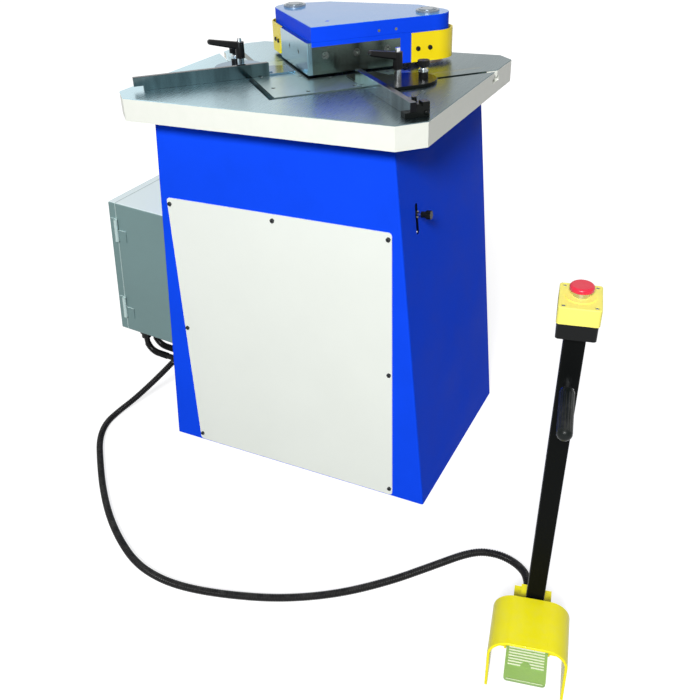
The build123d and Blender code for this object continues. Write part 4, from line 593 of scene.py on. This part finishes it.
# Conduits: ribbed black plastic hose from the control box. Two short ones go into the cabinet wall and a
# long one runs round the front over the floor to the foot station. Screwed glands hold their ends.
conduit_radius = 0.0085
rib_pitch = 0.0053
rib_depth = 0.0012
rib_outline = ((0.10, 1.0), (0.28, 0.25), (0.5, 0.0), (0.72, 0.25), (0.90, 1.0))
sides_round = 14
floor_points = [
    (-0.4004, -0.0620, 0.2554), (-0.4057, -0.0620, 0.1936), (-0.421, -0.097, 0.146), (-0.453, -0.138, 0.105),
    (-0.490, -0.168, 0.064), (-0.524, -0.210, 0.028), (-0.546, -0.262, 0.0105), (-0.544, -0.316, 0.0085),
    (-0.512, -0.378, 0.0085), (-0.452, -0.446, 0.0085), (-0.376, -0.526, 0.0085), (-0.296, -0.598, 0.0085),
    (-0.216, -0.654, 0.0085), (-0.140, -0.693, 0.0085), (-0.066, -0.707, 0.0085), (0.008, -0.702, 0.0085),
    (0.096, -0.680, 0.0085), (0.196, -0.643, 0.0085), (0.292, -0.584, 0.0085), (0.374, -0.508, 0.0085),
    (0.436, -0.434, 0.0085), (0.502, -0.354, 0.0085), (0.552, -0.338, 0.0085), (0.600, -0.354, 0.0135),
    (0.6353, -0.3974, 0.027), (0.6457, -0.4483, 0.027)]
conduit_black = sprayed("conduit_black", shade(14, 14, 15), 0.30, sheen=0.16, peel_scale=1600.0,
                        peel_depth=0.00005)
dress(conduit_black, "conduit_glands", "conduit_link")


def route_line(name, points):
    """Smooth centre line through the control points of a conduit's route."""
    curve = bpy.data.curves.new(name, "CURVE")
    curve.dimensions = "3D"
    curve.resolution_u = 24
    spline = curve.splines.new("NURBS")
    spline.points.add(len(points) - 1)
    for knot, point in zip(spline.points, points):
        knot.co = (*point, 1.0)
    spline.order_u = 3
    spline.use_endpoint_u = True
    curve.use_stretch = True
    curve.use_deform_bounds = True
    line = bpy.data.objects.new(name, curve)
    scene.collection.objects.link(line)
    return line


def ribbed_tube(length):
    """Straight ribbed tube along X, spun from its outline."""
    ribs = int(length / rib_pitch)
    pitch = length / ribs
    bm = bmesh.new()
    outline = [bm.verts.new((0.0, 0.0, conduit_radius - rib_depth))]
    for rib in range(ribs):
        for share, depth in rib_outline:
            outline.append(bm.verts.new(((rib + share) * pitch, 0.0, conduit_radius - rib_depth * depth)))
    outline.append(bm.verts.new((length, 0.0, conduit_radius - rib_depth)))
    edges = [bm.edges.new(pair) for pair in zip(outline, outline[1:])]
    bmesh.ops.spin(bm, geom=outline + edges, cent=(0, 0, 0), axis=(1, 0, 0), angle=math.tau,
                   steps=sides_round, use_merge=True)
    bmesh.ops.recalc_face_normals(bm, faces=bm.faces)
    mesh = bpy.data.meshes.new("ribbed_tube")
    bm.to_mesh(mesh)
    bm.free()
    return mesh


def conduit(name, node, points):
    """Ribbed hose laid along its route, in place of its plain CAD tube."""
    line = route_line(name + "_line", points)
    bpy.context.view_layer.update()
    path = [tuple(vertex.co) for vertex in bpy.data.meshes.new_from_object(line).vertices]
    length = sum((Vector(b) - Vector(a)).length for a, b in zip(path, path[1:]))
    straight = bpy.data.objects.new(name + "_straight", ribbed_tube(length))
    scene.collection.objects.link(straight)
    bend = straight.modifiers.new("lay", "CURVE")
    bend.object = line
    bend.deform_axis = "POS_X"
    bpy.context.view_layer.update()
    laid = bpy.data.meshes.new_from_object(straight.evaluated_get(bpy.context.evaluated_depsgraph_get()))
    laid.name = name
    for helper in (straight, line):
        bpy.data.objects.remove(helper)
    laid.shade_smooth()
    laid.materials.clear()
    laid.materials.append(conduit_black)
    hose = bpy.data.objects.new(name, laid)
    scene.collection.objects.link(hose)
    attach(hose, "machine")
    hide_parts(node)


conduit("floor_conduit", "conduit_floor", floor_points)

# Foot station: a hood bent from yellow sheet over a cast pedal, whose rib tops carry a pale painted
# highlight.
# The black post of square tube on its back carries a rubber grip that turns on a stud.
pedal_up = (0.05628, -0.27663, 0.95932)
pedal_rib_level = 0.2379
hood_yellow = sprayed("hood_yellow", shade(253, 240, 22), 0.36, coat=0.15, sheen=0.2)
dress(hood_yellow, "foot_hood", "foot_base")
dress(machined("pin_steel", shade(150, 154, 156), 0.35), "pedal_pin", "estop_screws")
pedal_green, tree, shader = blank("pedal_green")
green_colour, green_rough = paint_into(tree, shader, shade(150, 188, 106), 0.45, peel_scale=500.0,
                                       peel_depth=0.0002)
# Painted highlight on the pedal's rib tops.
rib_highlight = maths(tree, "GREATER_THAN", measured(tree, object_place(tree), pedal_up), pedal_rib_level)
cover(tree, shader, mix(tree, rib_highlight, green_colour, shade(232, 242, 214)), green_rough)
dress(pedal_green, "foot_pedal")
post_black = sprayed("post_black", shade(9, 11, 11), 0.42, sheen=0.04)
dress(post_black, "station_post")
dress(moulded_black, "foot_switch", "estop_base")
grip_rubber = sprayed("grip_rubber", shade(13, 19, 18), 0.30, sheen=0.16, peel_scale=1400.0)
dress(grip_rubber, "handle_grip")

# Stop button: a yellow moulded cover, screwed on a black base at the top of the post. The red mushroom
# stands on a plated stem.
button_up = (0.02754, -0.04780, 0.99848)
stem_top = 0.8104
dress(sprayed("cover_yellow", shade(250, 241, 120), 0.40, sheen=0.15, peel_scale=1500.0), "estop_cover")
button_red, tree, shader = blank("button_red")
red_colour, red_rough = paint_into(tree, shader, shade(226, 30, 62), 0.30, peel_scale=2000.0,
                                   peel_depth=0.00004, scuff=0.15, dust=0.05)
stem = maths(tree, "LESS_THAN", measured(tree, object_place(tree), button_up), stem_top)
cover(tree, shader, mix(tree, stem, red_colour, shade(200, 204, 206)), red_rough)
tree.links.new(stem, shader.inputs["Metallic"])
dress(button_red, "estop_button")
